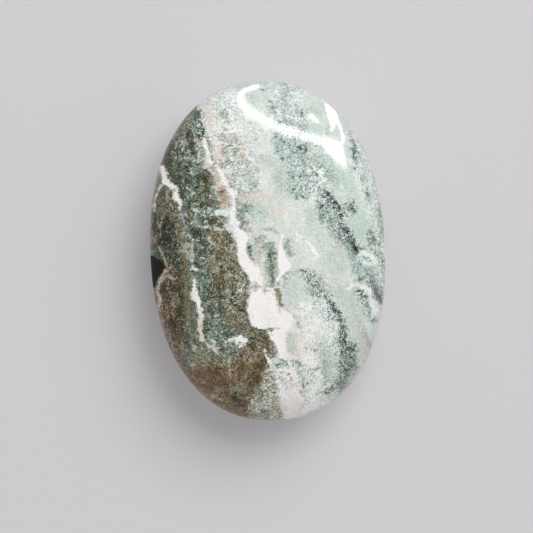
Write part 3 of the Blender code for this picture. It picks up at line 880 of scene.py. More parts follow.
# The veins and what runs beside them.
VEINS: Features = (
    Seam(Tone(0.56, -0.2, 0.1), Rim.CRUMBLED, (
        (20, OUT, -24.3), (18.5, OUT, -23.8), (17, OUT, -23.6), (15.8, OUT, -24.4), (14, OUT, -25.4),
    )),
    Seam(Tone(0.14, 0.4, 0.03), Rim.CRUMBLED, (
        (17, -23.6, -22.6), (16.4, -24, -23.1), (15.4, -24.7, -24.1), (14, -25.2, -24.8),
        (12, -25.6, -25.2), (10.6, -25.8, -25.5),
    )),
    Seam(WHITE, Rim.CRUMBLED, (
        (20.6, -24, -22.8), (19, -23.8, -22.2), (18, -23.6, -22), (17, -23.4, -21.6),
        (16.2, -22.6, -20.6), (15.6, -21.7, -20), (15, -21.3, -19.9), (14, -21.2, -19.8),
        (13, -21.1, -19.5), (12.5, -20.5, -19.2), (12, -20.1, -19.1), (11.4, -19.9, -19.1),
        (10.8, -20, -19.3), (10.3, -19.8, -19.4),
    )),
    Spots(Tone(0.22, 0.5, 0.05), Rim.CRUMBLED, ((-19.8, 9.3, 0.5, 0.22),)),
    Spots(Tone(0.62, 1.6, 0.06), Rim.CRUMBLED, ((-20.75, 15.1, 0.2, 0.35), (-20.1, 9.9, 0.2, 0.3))),
    Seam(Tone(0.36, -1.2, 0.05), Rim.CRUMBLED, (
        (9, -19.3, -18.9), (7.4, -18.9, -18.6), (6, -18.9, -18.5), (5, -18.4, -17.9), (4, -17.8, -17.4),
    ), 0.8),
    Seam(Tone(0.24, 0.3, 0.05), Rim.CRUMBLED, (
        (5, -18.3, -18), (4, -17.8, -17.4), (3, -17.6, -17.2), (1, -17.6, -17.1), (0, -17.6, -17),
        (-1.6, -17.6, -17.1), (-2.8, -17.5, -17),
    ), 0.9),
    Spots(WHITE, Rim.CRUMBLED, ((-17, -3.5, 0.7, 0.5),)),
    Spots(Tone(0.55, 1.7, 0.05), Rim.CRUMBLED, ((-17, -4.2, 0.4, 0.2),)),
    Seam(WHITE, Rim.CRUMBLED, (
        (-5.8, -17.4, -17), (-7, -17.7, -16.9), (-8, -18, -16.8), (-9, -18.3, -16.4), (-10, -18.4, -16.1),
        (-10.6, -17.9, -16), (-11.2, -17, -16), (-12, -16.9, -15.9), (-13, -16.8, -15.8),
    )),
    Spots(Tone(0.6, 0.3, 0.06), Rim.CRUMBLED, ((-18.1, -9.8, 0.25, 0.2),)),
    Seam(Tone(0.07, 1.0, 0.03), Rim.CRUMBLED, (
        (-12.6, -16.8, -15.8), (-13.4, -16.7, -15.7), (-14.2, -16.6, -15.5), (-15, -16.7, -15.5),
    )),
    Seam(Tone(0.15, 1.35, 0.05), Rim.CRUMBLED, (
        (-14.8, -16.7, -15.6), (-16, -17, -15.7), (-17, -17.1, -16), (-18, -16.9, -15.9),
        (-19, -16.8, -15.7), (-20, -16.3, -15.3), (-20.6, -15.5, -14.8), (-21.4, -14.6, -13.9),
        (-22, -13.9, -13.4),
    )),
    Spots(Tone(0.14, 1.7, 0.03), Rim.CRUMBLED, ((-12.7, -22.9, 0.75, 0.2, -40),)),
    Spots(Tone(0.25, 0.5, 0.05), Rim.CRUMBLED, (
        (-11.7, -23.4, 0.4, 0.25, -30), (-12.6, -21.7, 0.25, 0.5), (-18, -21.4, 0.3, 0.6, 25),
    )),
    Seam(Tone(0.28, 0.75, 0.05), Rim.CRUMBLED, (
        (2.2, -25.1, -24.6), (0.8, -24.7, -24.2), (-0.6, -24.2, -23.8), (-1.6, -23.8, -23.3),
    )),
    Seam(Tone(0.5, 1.5, 0.06), Rim.CRUMBLED, (
        (-1.8, -23.6, -23.1), (-2.8, -23.6, -22.9), (-3.6, -23.8, -23.2),
    )),
    Seam(Tone(0.33, 0.7, 0.05), Rim.CRUMBLED, (
        (-3.4, -24, -23.4), (-4.4, -24.7, -24), (-5.6, -25.4, -24.4), (-6.6, -25.7, -25),
        (-7.4, -26.1, -25.4),
    )),
    Seam(Tone(0.3, 1.25, 0.06), Rim.CRUMBLED, (
        (-7.2, -26.1, -25.4), (-8.4, -26.1, -25.4), (-9.4, -25.8, -24.9), (-10.2, -25.6, -24.8),
        (-11.2, -25.9, -25.4), (-12.4, -26.3, -25.8),
    )),
    Spots(Tone(0.33, 0.7, 0.04), Rim.CRUMBLED, ((-23.2, -4.6, 0.7, 0.2, 8), (-22.4, -5, 0.5, 0.16, -35))),
    Seam(Tone(0, 0.3, 0.03), Rim.CRUMBLED, (
        (26.6, -13.6, -13), (26, -13.5, -12.6), (25, -13.6, -12.6), (24, -13.3, -12.5), (23, -13, -12.3),
        (22, -12.8, -12.1), (21, -12.5, -11.8), (20.4, -12.4, -12),
    )),
    Spots(Tone(0.1, 0.3, 0.03), Rim.CRUMBLED, (
        (-12.4, 19.3, 0.7, 0.14, -64), (-12.6, 22.2, 0.8, 0.3, 50), (-13.9, 25.9, 0.5, 0.16, -40),
    )),
    Spots(Tone(0.03, 0.4, 0.02), Rim.CRUMBLED, ((-10.9, 30.5, 1.1, 0.22, 58), (-10.1, 31.7, 0.14, 0.7))),
    Spots(Tone(0.16, 1.5, 0.03), Rim.GRAINY, ((-11.8, 32, 0.25, 1.9),), 0.8),
    Seam(Tone(0.05, 0.9, 0.05), Rim.GRAINY, (
        (26.6, -11, -10.6), (26, -10.8, -10.3), (25, -10.6, -10), (24, -10.1, -9.6), (23, -10, -9.5),
        (22, -9.9, -9.4), (21.4, -9.4, -8.9),
    ), 0.85),
    Spots(Tone(0.06, 0.5, 0.03), Rim.CRUMBLED, (
        (-10.6, 19.2, 0.3, 0.2), (-8.8, 21.6, 0.5, 0.14, -40), (-9.6, 18.9, 0.5, 0.2),
    )),
    Seam(Tone(0.02, 0.3, 0.04), Rim.CRUMBLED, (
        (20, -10.8, -10.5), (19, -10.5, -9.9), (18.3, -10.2, -9.4), (17.5, -9.9, -9), (16.5, -9.7, -8.6),
        (15.5, -9.1, -7.9), (15, -8.7, -7.7), (14, -8.3, -6.6), (13, -7.7, -6.4), (12, -7.6, -6.9),
        (11, -7.7, -6.8), (10, -8, -7), (9.3, -8.4, -7), (8.5, -8.1, -7), (7.5, -8.4, -6.7),
        (6.8, -8.5, -6), (6, -7.9, -6.3), (5.3, -7.7, -6), (4.6, -7.5, -5.3), (4, -7.1, -4.6),
        (3, -7, -4.4),
    )),
    Seam(WHITE, Rim.CRUMBLED, (
        (4, -7.1, -4.6), (3, -6.9, -4.4), (2, -6.8, -4.8), (1, -6.8, -5), (0, -6.9, -5), (-1, -6.9, -4.6),
        (-2, -6.7, -3.9), (-3, -6.3, -3.1), (-4, -5.8, -2), (-5, -5, -1.4), (-6, -4.5, -1.3),
        (-7, -3.9, -1.2), (-8, -2.7, -1.5), (-8.7, -2.3, -1.2),
    )),
    Seam(WHITE, Rim.CRUMBLED, (
        (-8.8, -3.2, 1), (-9.4, -4.1, 1.2), (-10, -4.5, 1.4), (-11, -4.7, 1.6), (-12, -4.9, 1.9),
        (-13, -5.2, 2.1), (-14, -5.2, 3.5), (-15, -5, 4.8), (-16, -4.8, 5.2), (-17, -4.4, 4.8),
        (-17.8, -2.8, 4.4), (-18.2, -1.4, 4.1), (-18.8, -1, 3.8), (-19.6, -0.9, 3.4), (-20.3, -0.5, 3.2),
        (-21, 0.3, 3.1), (-22, 0.9, 3.1), (-23, 1.2, 3.1), (-24, 1.4, 3), (-25, 1.6, 2.6),
        (-25.6, 1.9, 2.3),
    )),
    Spots(Tone(0.5, -0.3, 0.12), Rim.CRUMBLED, (
        (0, -18, 1, 0.25, 8), (-0.4, -19.4, 0.35, 0.25), (-1.4, -18.6, 0.4, 0.8),
    )),
    Spots(Tone(0.07, 0.8, 0.03), Rim.MISTY, ((5.2, -23.4, 1.2, 2.6),)),
    Spots(Tone(0.24, -0.1, 0.08), Rim.CRUMBLED, ((4.3, -21.7, 1.1, 2.4), (-3.6, -8.4, 0.9, 0.55, -10))),
    Spots(Tone(0.3, 0.9, 0.06), Rim.CRUMBLED, ((4.2, -19.6, 0.6, 0.3, -20), (5.5, -21, 0.16, 1.6))),
    Spots(Tone(0.3, 1.6, 0.03), Rim.CRUMBLED, (
        (-4.4, -8.3, 0.6, 0.16, -30), (-2.7, -7.8, 0.6, 0.14, -40), (-1.7, -8.4, 0.4, 0.14, -20),
        (-3.3, -9, 0.5, 0.12, 15), (-1, -6, 0.14, 1), (-1.15, -7.9, 0.14, 0.8, 12),
        (-0.8, -9.2, 0.5, 0.12), (1.2, -8.7, 0.14, 0.4, 30), (1.5, -11.6, 0.12, 1.1, 14),
    ), 0.8),
    Spots(Tone(0.12, 1.75, 0.02), Rim.CRUMBLED, (
        (-1.8, -3.7, 0.35, 0.25), (-1.2, -5.4, 0.25, 0.5), (3.4, -0.6, 0.4, 0.16, -42),
        (-2.6, -3.2, 0.5, 0.12),
    )),
    Seam(Tone(0.48, 0.75, 0.07), Rim.CRUMBLED, (
        (-8.7, 1.2, 2.3), (-10, 1.4, 2.6), (-11, 1.7, 2.5), (-12, 1.9, 2.4),
    )),
    Spots(Tone(0.5, -0.3, 0.08), Rim.CRUMBLED, ((2.5, -12.6, 0.6, 0.35),)),
    Spots(Tone(0.42, 0.1, 0.06), Rim.GRAINY, (
        (3.6, -6, 0.25, 0.9), (4.4, -5.2, 0.9, 0.2), (3.4, -7.6, 0.3, 0.5),
    ), 0.8),
    Seam(WHITE, Rim.CRUMBLED, (
        (-22.6, -1.9, -1.7), (-23.6, -1.8, -1.5), (-24.3, -1.8, -1.2), (-25.2, -1.5, -0.6),
        (-26.2, -1, -0.3), (-27.2, -0.5, -0.2),
    )),
    Spots(OFF_WHITE, Rim.CRUMBLED, ((0.2, -26.4, 0.6, 0.4),)),
    Seam(WHITE, Rim.CLEAN, (
        (3.6, 3.2, 3.6), (2.8, 3.2, 3.8), (2, 2.9, 3.4), (1, 2.7, 3.5), (0, 2.4, 3.7), (-1, 2.3, 4),
        (-2, 2.3, 4.4), (-3, 2.3, 4.9), (-3.6, 2.3, 5.2), (-4.3, 2.4, 4.9), (-5, 2.6, 3.9),
        (-5.6, 2.2, 3.4), (-6.2, 1.9, 2.8), (-6.9, 1.6, 2.2),
    )),
    Spots(Tone(0.05, 0.5, 0.03), Rim.CLEAN, (
        (4.8, 8.6, 0.18, 0.7, 4), (4.5, 7.3, 0.3, 0.6, 10), (5, 6.4, 0.45, 0.5), (8.7, 6.6, 0.3, 0.6, -8),
        (2.9, -7.6, 0.16, 0.7, -12), (1.9, -8.5, 0.8, 0.14, 12), (5.6, -2.4, 0.7, 0.2, 50),
        (6.5, -4.6, 0.5, 0.16, -60), (9.2, 9.4, 0.6, 0.16, -25), (3.9, 3.4, 0.5, 0.16, -60),
        (0.9, 6.1, 1, 0.2, 10),
    )),
    Seam(Tone(0, 0, 0.03), Rim.CLEAN, (
        (3.8, 6.4, 7.2), (3, 7, 8), (2, 8, 9), (1, 9.4, 10.1), (0, 9.9, 10.8), (-1, 10.4, 11.6),
        (-2, 11.2, 11.8),
    )),
    Spots(Tone(0, 0, 0.03), Rim.CRUMBLED, (
        (10.6, -2.2, 1, 0.2, 10), (9, 0.2, 0.16, 0.7, 30), (7.4, 1.8, 0.7, 0.16, -40),
    ), 0.7),
    Spots(Tone(0.24, 0.8, 0.03), Rim.CRUMBLED, ((7.3, 2.9, 0.6, 0.12, -38),)),
    Spots(WHITE, Rim.CRUMBLED, (
        (-7.4, -20.1, 1.5, 0.95, -30), (-6.2, -20.3, 0.9, 0.5, -20), (-9.9, -20.1, 0.7, 0.45, 8),
        (-7.3, -21.4, 0.3, 0.5),
    )),
    Spots(Tone(0.1, 1.5, 0.03), Rim.CRUMBLED, (
        (-6.3, -20.9, 0.25, 0.25), (-10.6, -20.2, 0.25, 0.25), (-9.9, -20.5, 0.4, 0.12),
    )),
    Spots(Tone(0.36, 0.75, 0.05), Rim.CRUMBLED, ((-10.1, -25.7, 0.15, 1.6),), 0.9),
)

# The slate ridge and the other dark spots of the right side, the white spatter beside them, and a thin line
# of painted shade along the right rim.
RIGHT: Features = (
    Seam(Tone(0.58, -1.9, 0.3), Rim.GRAINY, (
        (14, 12.2, 13.2), (13, 12.4, 14.3), (12, 13.2, 15), (11, 14.4, 15.9), (10, 15, 16.8),
        (9, 15.5, 17.9), (8, 16.2, 18), (7, 16.4, 18), (6, 16.7, 17.8), (5, 17, 18), (4, 17.1, 18.8),
        (3, 17.7, 19.3), (2, 18.4, 19.8), (1, 18.9, 20.2), (0, 19.4, 20.8), (-1, 19.7, 21.2),
        (-2, 20, 20.8),
    ), 0.9),
    Seam(Tone(0.42, -1.7, 0.18), Rim.GRAINY, (
        (9, 14.2, 15), (7, 14.3, 15.1), (5, 14.3, 15.3), (3, 14.5, 15.4),
    )),
    Spots(Tone(0.5, -1.6, 0.22), Rim.GRAINY, (
        (19.5, 8.9, 1.1, 1.3), (13.1, 7, 0.6, 1), (12.6, 10.2, 1.1, 0.6, -30), (16.6, 2.6, 0.8, 0.9),
    )),
    Spots(Tone(0.93, -1, 0.05), Rim.CRUMBLED, (
        (14.2, 12.3, 0.4, 0.3), (13.1, 12.3, 0.3, 0.25), (12.8, 13.4, 0.3, 0.16), (13.6, 13.1, 0.3, 0.16),
        (15.8, 10.2, 0.45, 0.22), (15.8, 9.2, 0.25, 0.22), (12.8, 9.7, 0.4, 0.25, -30),
        (11.7, 10.5, 0.3, 0.2), (15.3, 11.3, 0.25, 0.2), (19.8, 8.7, 0.18, 0.2), (19.1, 9.7, 0.3, 0.16),
        (18.8, 7.9, 0.2, 0.18), (20.1, 9.9, 0.15, 0.3), (17.3, 7.1, 0.4, 0.2), (17, 9.1, 0.3, 0.25),
        (17.6, 4.2, 0.3, 0.25), (18.4, 3.5, 0.25, 0.2), (18.8, 2.7, 0.25, 0.25), (19.7, 0.5, 0.35, 0.4),
        (20.4, -0.6, 0.45, 0.5, 30), (20.7, -1.4, 0.35, 0.25, -30), (20, -0.7, 0.25, 0.3),
        (16.2, 5.4, 0.2, 0.16), (20.4, 8.1, 0.25, 0.15),
    ), 0.9),
    Spots(WHITE, Rim.CRUMBLED, (
        (13.3, 13, 0.18, 0.16), (12.9, 12.6, 0.15, 0.12), (18.3, 2.8, 0.18, 0.16),
        (17.6, 2.2, 0.25, 0.15), (13.4, 12.2, 0.2, 0.12), (19.2, 7.6, 0.15, 0.2),
    )),
    Spots(Tone(0.2, -1.1, 0.26), Rim.MISTY, ((11.6, 16.2, 2.8, 2.4),)),
    Spots(Tone(0, 0, 0.1), Rim.GRAINY, (
        (13.3, 15.6, 0.7, 0.9), (11.4, 17.9, 0.4, 0.5), (10.9, 11.8, 0.9, 1.2), (10.8, 10.1, 1, 0.3, 10),
        (12.9, 17.4, 0.8, 0.9),
    )),
    Spots(Tone(0.03, 0.1, 0.03), Rim.CRUMBLED, (
        (17.8, 13.9, 0.3, 0.45), (17.8, 12.3, 0.7, 0.25), (13.2, 15.4, 0.4, 0.4), (21, 16.7, 0.3, 0.14),
        (22.8, 13.5, 0.5, 0.25), (14.3, 22.3, 0.25, 0.2),
    ), 0.8),
    Spots(Tone(0.06, -0.2, 0.06), Rim.GRAINY, (
        (22.7, 15.3, 1.4, 2), (23.9, 8.3, 0.6, 1), (25.5, 5.7, 0.35, 0.6), (24.2, 12.4, 0.3, 0.9),
    )),
    Spots(Tone(0.3, -0.7, 0.08), Rim.GRAINY, ((22.8, 15.3, 0.6, 1.1),)),
    # The spots at x 26 lie on the very rim and paint a thin dark line of painted shade there. The rest are
    # dark olive and slate mottles of the rock.
    Spots(Tone(0.62, -1.2, 0.16), Rim.GRAINY, (
        (24.2, 1.8, 0.6, 1.6), (26.4, 4, 0.3, 1.4), (23.7, 0.6, 0.35, 1), (22, -0.7, 0.6, 0.25, 20),
        (24.9, -1.8, 0.25, 0.35), (26, -3.8, 0.3, 0.8), (25, 0.2, 0.4, 0.2), (21, 17.9, 0.3, 0.3),
        (23.6, 11.4, 0.3, 0.6), (26, 7, 0.2, 0.7), (21, 21.6, 0.3, 1.6, 8),
    ), 0.8),
    Seam(Tone(0.66, -1.9, 0.09), Rim.GRAINY, (
        (-5.4, 22, 22.6), (-6.4, 22.2, 23), (-7.5, 22.6, 23.6), (-8.5, 23, 24), (-9.5, 23.6, 24.6),
        (-10.5, 24, 25), (-12, 24.5, 25.6), (-13.2, 25.2, 25.8), (-14.6, 25.9, 26),
    ), 0.95),
    Spots(Tone(0.27, -1.6, 0.16), Rim.MISTY, ((22, -7.4, 1.2, 1.6, -20),)),
    Spots(Tone(0, 0, 0.06), Rim.CRUMBLED, (
        (22.1, -2.2, 1.3, 1, -30), (23.4, -3, 1.5, 1.1, -35), (22.6, -3.8, 0.9, 0.5),
        (24.4, -3.9, 0.6, 0.3, -20),
    )),
    Spots(Tone(0.42, -1.8, 0.24), Rim.CRUMBLED, (
        (22.3, -2.7, 0.9, 0.4, -30), (23, -3.5, 0.4, 0.25),
    ), 0.8),
    Seam(Tone(0.36, -0.3, 0.24), Rim.MISTY, (
        (-4.8, 7.2, 9.6), (-6, 7.6, 11.4), (-7, 8, 12.2), (-8.5, 8.2, 12.8), (-10, 9, 13.2),
        (-11.4, 10.4, 13.8),
    )),
    Spots(Tone(0.2, -1.2, 0.28), Rim.MISTY, ((12.6, -13.6, 1.6, 2.4, 30), (14.6, -18, 0.7, 2.4))),
    Seam(Tone(0.52, -1.8, 0.3), Rim.GRAINY, (
        (-11.6, 12.8, 13.8), (-12.6, 13.1, 14.5), (-13.6, 13.6, 15.3), (-14.6, 14.2, 16),
        (-16, 14.7, 16.5), (-17, 15, 16.7), (-18, 15.5, 17.2), (-20, 15.3, 17.6), (-22, 15.2, 17.5),
    ), 0.9),
    Seam(Tone(0.5, -1.2, 0.28), Rim.MISTY, (
        (-21, 15.2, 17.6), (-23, 15.2, 19), (-25, 15.4, 19.2), (-27, 15.2, 18.8), (-29, 14.8, 17.8),
        (-31, 13.8, 16.8), (-32.5, 12.4, 15.6),
    )),
    Spots(Tone(0.6, 0.5, 0.14), Rim.MISTY, (
        (17.8, -27, 1.2, 2, -12), (15.6, -31.2, 1, 1.2, -25), (13.2, -33.2, 1.4, 0.6, 12),
    ), 0.8),
    Spots(Tone(0.06, -0.6, 0.08), Rim.GRAINY, (
        (12.3, -13.2, 0.7, 0.6, -30), (15.2, -18, 0.35, 0.9), (14.9, -19.6, 0.3, 0.5),
        (11, -12, 0.8, 0.4, -30), (14, -12, 0.4, 0.3),
    )),
    Spots(Tone(0.8, -1.8, 0.1), Rim.CRUMBLED, (
        (13.6, -12.2, 0.3, 0.35), (14.4, -13.3, 0.3, 0.5, -20), (15.2, -14.6, 0.5, 0.3, -30),
        (11.3, -8.3, 0.4, 0.3), (12.1, -9.9, 0.35, 0.3), (10.3, -6.4, 0.5, 0.2), (8.2, -6.9, 0.25, 0.2),
        (12.6, -11.2, 0.25, 0.3), (15.8, -16.6, 0.3, 0.4), (16.3, -18.4, 0.4, 0.4),
        (16.6, -21.6, 0.35, 0.5), (17.5, -23.6, 0.7, 0.4), (19.1, -22.8, 0.35, 0.35),
        (16, -24.2, 0.35, 0.4), (17.9, -25.4, 0.4, 0.3), (9.6, -8.4, 0.3, 0.25),
    ), 0.75),
    Spots(Tone(0.25, -0.5, 0.07), Rim.MISTY, ((12.4, -26.5, 1.8, 4.6),)),
    Spots(Tone(0.4, 1.1, 0.05), Rim.CRUMBLED, ((11.9, -29, 0.18, 1.5, 4), (11.8, -26.1, 0.2, 0.3)), 0.8),
    Spots(Tone(0.2, 0.7, 0.03), Rim.GRAINY, (
        (12.4, -4.8, 0.14, 1.6), (15.4, -4.3, 0.14, 0.9), (16.3, -5, 0.4, 0.2), (15.3, -9.8, 0.6, 0.3),
        (15.5, -8, 0.3, 0.3),
    ), 0.8),
    Spots(Tone(0.34, -1.7, 0.3), Rim.GRAINY, ((21.6, -13, 1, 2.6, 18), (20.6, -10.6, 0.9, 0.7))),
    Seam(Tone(0, 0, 0.1), Rim.CRUMBLED, (
        (-9.2, 21.2, 22.2), (-9.8, 21.4, 23), (-10.6, 22, 23.4), (-11.6, 22.2, 23.2), (-12.6, 22.6, 23.6),
        (-13.8, 23, 24.1), (-14.8, 23.6, 24.7), (-15.8, 23.3, 24.3), (-16.6, 22.9, 23.8),
    )),
    Spots(WHITE, Rim.CRUMBLED, (
        (18.8, -8.3, 0.2, 0.7), (18.5, -9.3, 0.8, 0.3, 30), (20, -8.9, 1.1, 0.3, -4),
        (21.3, -9.2, 0.8, 0.4, -12), (20.1, -10.9, 0.25, 0.3), (22.6, -10.4, 0.5, 0.4),
        (23.4, -13.4, 0.7, 0.3, 20), (24, -15, 0.5, 0.5), (21.6, -13.1, 0.3, 0.4),
        (21.9, -15.2, 0.25, 0.3), (20.8, -12, 0.2, 0.3), (22.3, -14.4, 0.25, 0.35),
    )),
    Spots(Tone(0.93, -0.8, 0.04), Rim.CRUMBLED, (
        (20.7, -10.3, 0.5, 0.22, -10), (20.9, -11, 0.3, 0.25), (21.8, -11.5, 0.5, 0.25, -25),
        (21.2, -11.3, 0.3, 0.16, -30),
    )),
    Spots(Tone(0.55, -1.3, 0.08), Rim.GRAINY, (
        (20.6, -12.5, 0.4, 0.5), (22.2, -13.8, 0.3, 0.4), (21.2, -12.1, 0.25, 0.3),
        (23.6, -17.2, 0.5, 0.5), (22.6, -16, 0.3, 0.4), (20.9, -7.6, 0.5, 0.3),
    ), 0.85),
)

# Small flecks of the upper right and of the lower middle.
FLECKS: Features = (
    Spots(Tone(0.38, -1.4, 0.14), Rim.MISTY, (
        (7.6, 24.4, 1.5, 1.1, -20), (12.4, 23.4, 1.6, 0.6, -30), (4.2, 24.6, 1, 1.8), (8, 17, 1.1, 1),
        (15.6, 17.2, 0.8, 1.3), (2.8, 32.6, 0.8, 1.9),
    ), 0.5),
    Spots(Tone(0.34, -1.5, 0.08), Rim.MISTY, (
        (6, 33, 0.5, 1.6), (5.4, 37, 0.4, 1.4), (9, 31.6, 0.8, 0.6), (9, 28.8, 0.9, 0.6),
        (11.5, 20.4, 0.9, 0.5),
    ), 0.8),
    Spots(BLACK, Rim.CRUMBLED, (
        (8.5, 23.4, 0.25, 0.18), (8.9, 23, 0.2, 0.2), (9.7, 23.7, 0.35, 0.18, -20),
        (9.6, 22.2, 0.28, 0.2), (9.9, 22.8, 0.2, 0.14), (12.1, 17, 0.25, 0.16, -45),
    )),
    Spots(Tone(0.66, -1.2, 0.06), Rim.CRUMBLED, (
        (5, 24.2, 0.14, 0.4), (4.3, 23.8, 0.2, 0.16), (3.4, 26.1, 0.2, 0.16), (4.3, 21, 0.25, 0.18),
        (3.4, 22.8, 0.16, 0.2), (4.1, 25.6, 0.16, 0.14), (7.4, 19.2, 0.25, 0.14), (8.2, 16.8, 0.18, 0.2),
        (6.7, 16.3, 0.16, 0.4, 10), (11.3, 17.6, 0.2, 0.16), (14.2, 16.8, 0.16, 0.16),
        (13, 18.6, 0.4, 0.12, 30), (10.9, 18.4, 0.25, 0.18), (14.2, 14.6, 0.2, 0.16),
        (2.3, 34, 0.2, 0.16), (3.6, 33.4, 0.2, 0.25), (2.7, 33, 0.16, 0.16), (3.3, 31.6, 0.14, 0.3),
        (0.7, 37.1, 0.4, 0.25), (6.6, 14, 0.14, 0.35, -30), (5.5, 13.8, 0.2, 0.3), (8.8, 12.2, 0.2, 0.16),
        (9.6, 11.6, 0.3, 0.14, 20), (7.3, 11.7, 0.2, 0.16), (6.2, 21.3, 0.16, 0.16), (9.3, 31, 0.16, 0.3),
        (6.2, 23.4, 0.14, 0.2), (7.6, 25.2, 0.3, 0.12, -30),
    ), 0.8),
    Spots(Tone(0.35, -1.2, 0.04), Rim.CRUMBLED, (
        (12.5, 16.2, 0.9, 0.12, -55), (11.4, 15.4, 0.8, 0.12, -60), (9.7, 20.4, 0.14, 1.2, -10),
        (12.4, 19.8, 0.9, 0.12, -30),
    ), 0.7),
    Spots(Tone(0.36, 1.5, 0.04), Rim.CRUMBLED, (
        (9.5, 24.1, 0.35, 0.14), (10.1, 23.8, 0.14, 0.2), (5.6, 14, 0.14, 0.25), (14.9, 26.3, 0.2, 0.5),
    ), 0.8),
    Spots(Tone(0.22, 0.5, 0.03), Rim.GRAINY, (
        (18.3, 17.8, 0.14, 0.6), (16.1, 26.6, 0.3, 0.8), (-2.8, 38.3, 0.25, 0.6), (1.3, 38.5, 0.2, 0.5),
    )),
    Spots(Tone(0.4, -1.9, 0.16), Rim.GRAINY, ((2, -26.2, 1.7, 0.8), (5.2, -26.1, 0.9, 0.5))),
    Spots(Tone(0.24, -1.6, 0.26), Rim.MISTY, (
        (6.8, -30.6, 0.6, 1.4), (8.8, -28.6, 1.2, 0.9, 30), (13, -33, 1.6, 0.8, 15),
    ), 0.8),
    Spots(OFF_WHITE, Rim.CRUMBLED, (
        (2.8, -26.9, 0.35, 0.16), (6.3, -25.5, 0.6, 0.12, -25), (6.9, -26, 0.12, 0.4),
        (5.2, -26.5, 0.25, 0.3),
    )),
    Spots(Tone(0.64, -1.9, 0.06), Rim.CRUMBLED, (
        (2.7, -25.6, 0.5, 0.22), (1.3, -26.3, 0.25, 0.25), (5.2, -25.7, 0.25, 0.16),
        (6.1, -26.3, 0.2, 0.22), (5.8, -27.1, 0.28, 0.16), (3.2, -26.3, 0.2, 0.2),
        (6, -16.9, 0.35, 0.18, -20), (7.8, -30.7, 0.25, 0.3), (6.3, -33.5, 0.12, 0.6, 35),
        (6.7, -31.2, 0.14, 0.7), (13.3, -32.4, 0.3, 0.25), (12, -33.4, 0.5, 0.4),
        (7.8, -22.9, 0.25, 0.16), (9.3, -23.4, 0.2, 0.14), (9.6, -28.2, 0.3, 0.2), (9, -29.5, 0.2, 0.16),
    ), 0.85),
    Spots(Tone(0.5, 0.4, 0.05), Rim.CRUMBLED, (
        (1.4, -29.3, 0.25, 0.12), (1.9, -29.7, 0.25, 0.16), (2.2, -30.4, 0.25, 0.12),
        (2, -28.2, 0.5, 0.2), (3.3, -28.7, 0.3, 0.16), (3.6, -29.4, 0.2, 0.14), (4, -30, 0.3, 0.12),
        (6.3, -17.8, 0.25, 0.16), (7.7, -23.7, 0.16, 0.2), (-1.6, -32.8, 0.25, 0.5),
        (2.9, -31.5, 0.14, 0.3), (0.9, -37.6, 0.2, 0.4), (9.8, -27.7, 0.4, 0.16),
        (12.8, -22.8, 0.3, 0.12), (14.1, -22.2, 0.2, 0.2),
    ), 0.8),
    Spots(Tone(0.17, 0.4, 0.06), Rim.GRAINY, (
        (4, -31.2, 1, 0.7), (10.5, -34.8, 1.6, 0.5, 20), (6, -36, 0.8, 0.4), (1.6, -36, 0.7, 1),
    )),
    Spots(Tone(0.12, 1.2, 0.02), Rim.CRUMBLED, (
        (5.3, -12.8, 0.3, 0.2), (6, -15.3, 0.8, 0.12, -30), (7.7, -7, 0.2, 0.6, -30),
    )),
)

# The hollow of black mineral at the left rim, and the dark blue mineral that borders it.
HOLLOW: Features = (
    Spots(Tone(0.8, -1.5, 0.05), Rim.CRUMBLED, ((-25.5, 0.1, 0.9, 0.8, 30),)),
    Seam(Tone(1.0, 0.8, 0.0), Rim.CLEAN, (
        (-0.2, -27.6, -25.8), (-0.8, -27.6, -24.9), (-1.4, -27.6, -24.3), (-2.2, -27.6, -23.9),
        (-2.8, -27.6, -23.9), (-3.8, -27.6, -24.6), (-5, -27.6, -25.4), (-6.3, -27.6, -26),
        (-7.2, -27.6, -26.5),
    )),
)

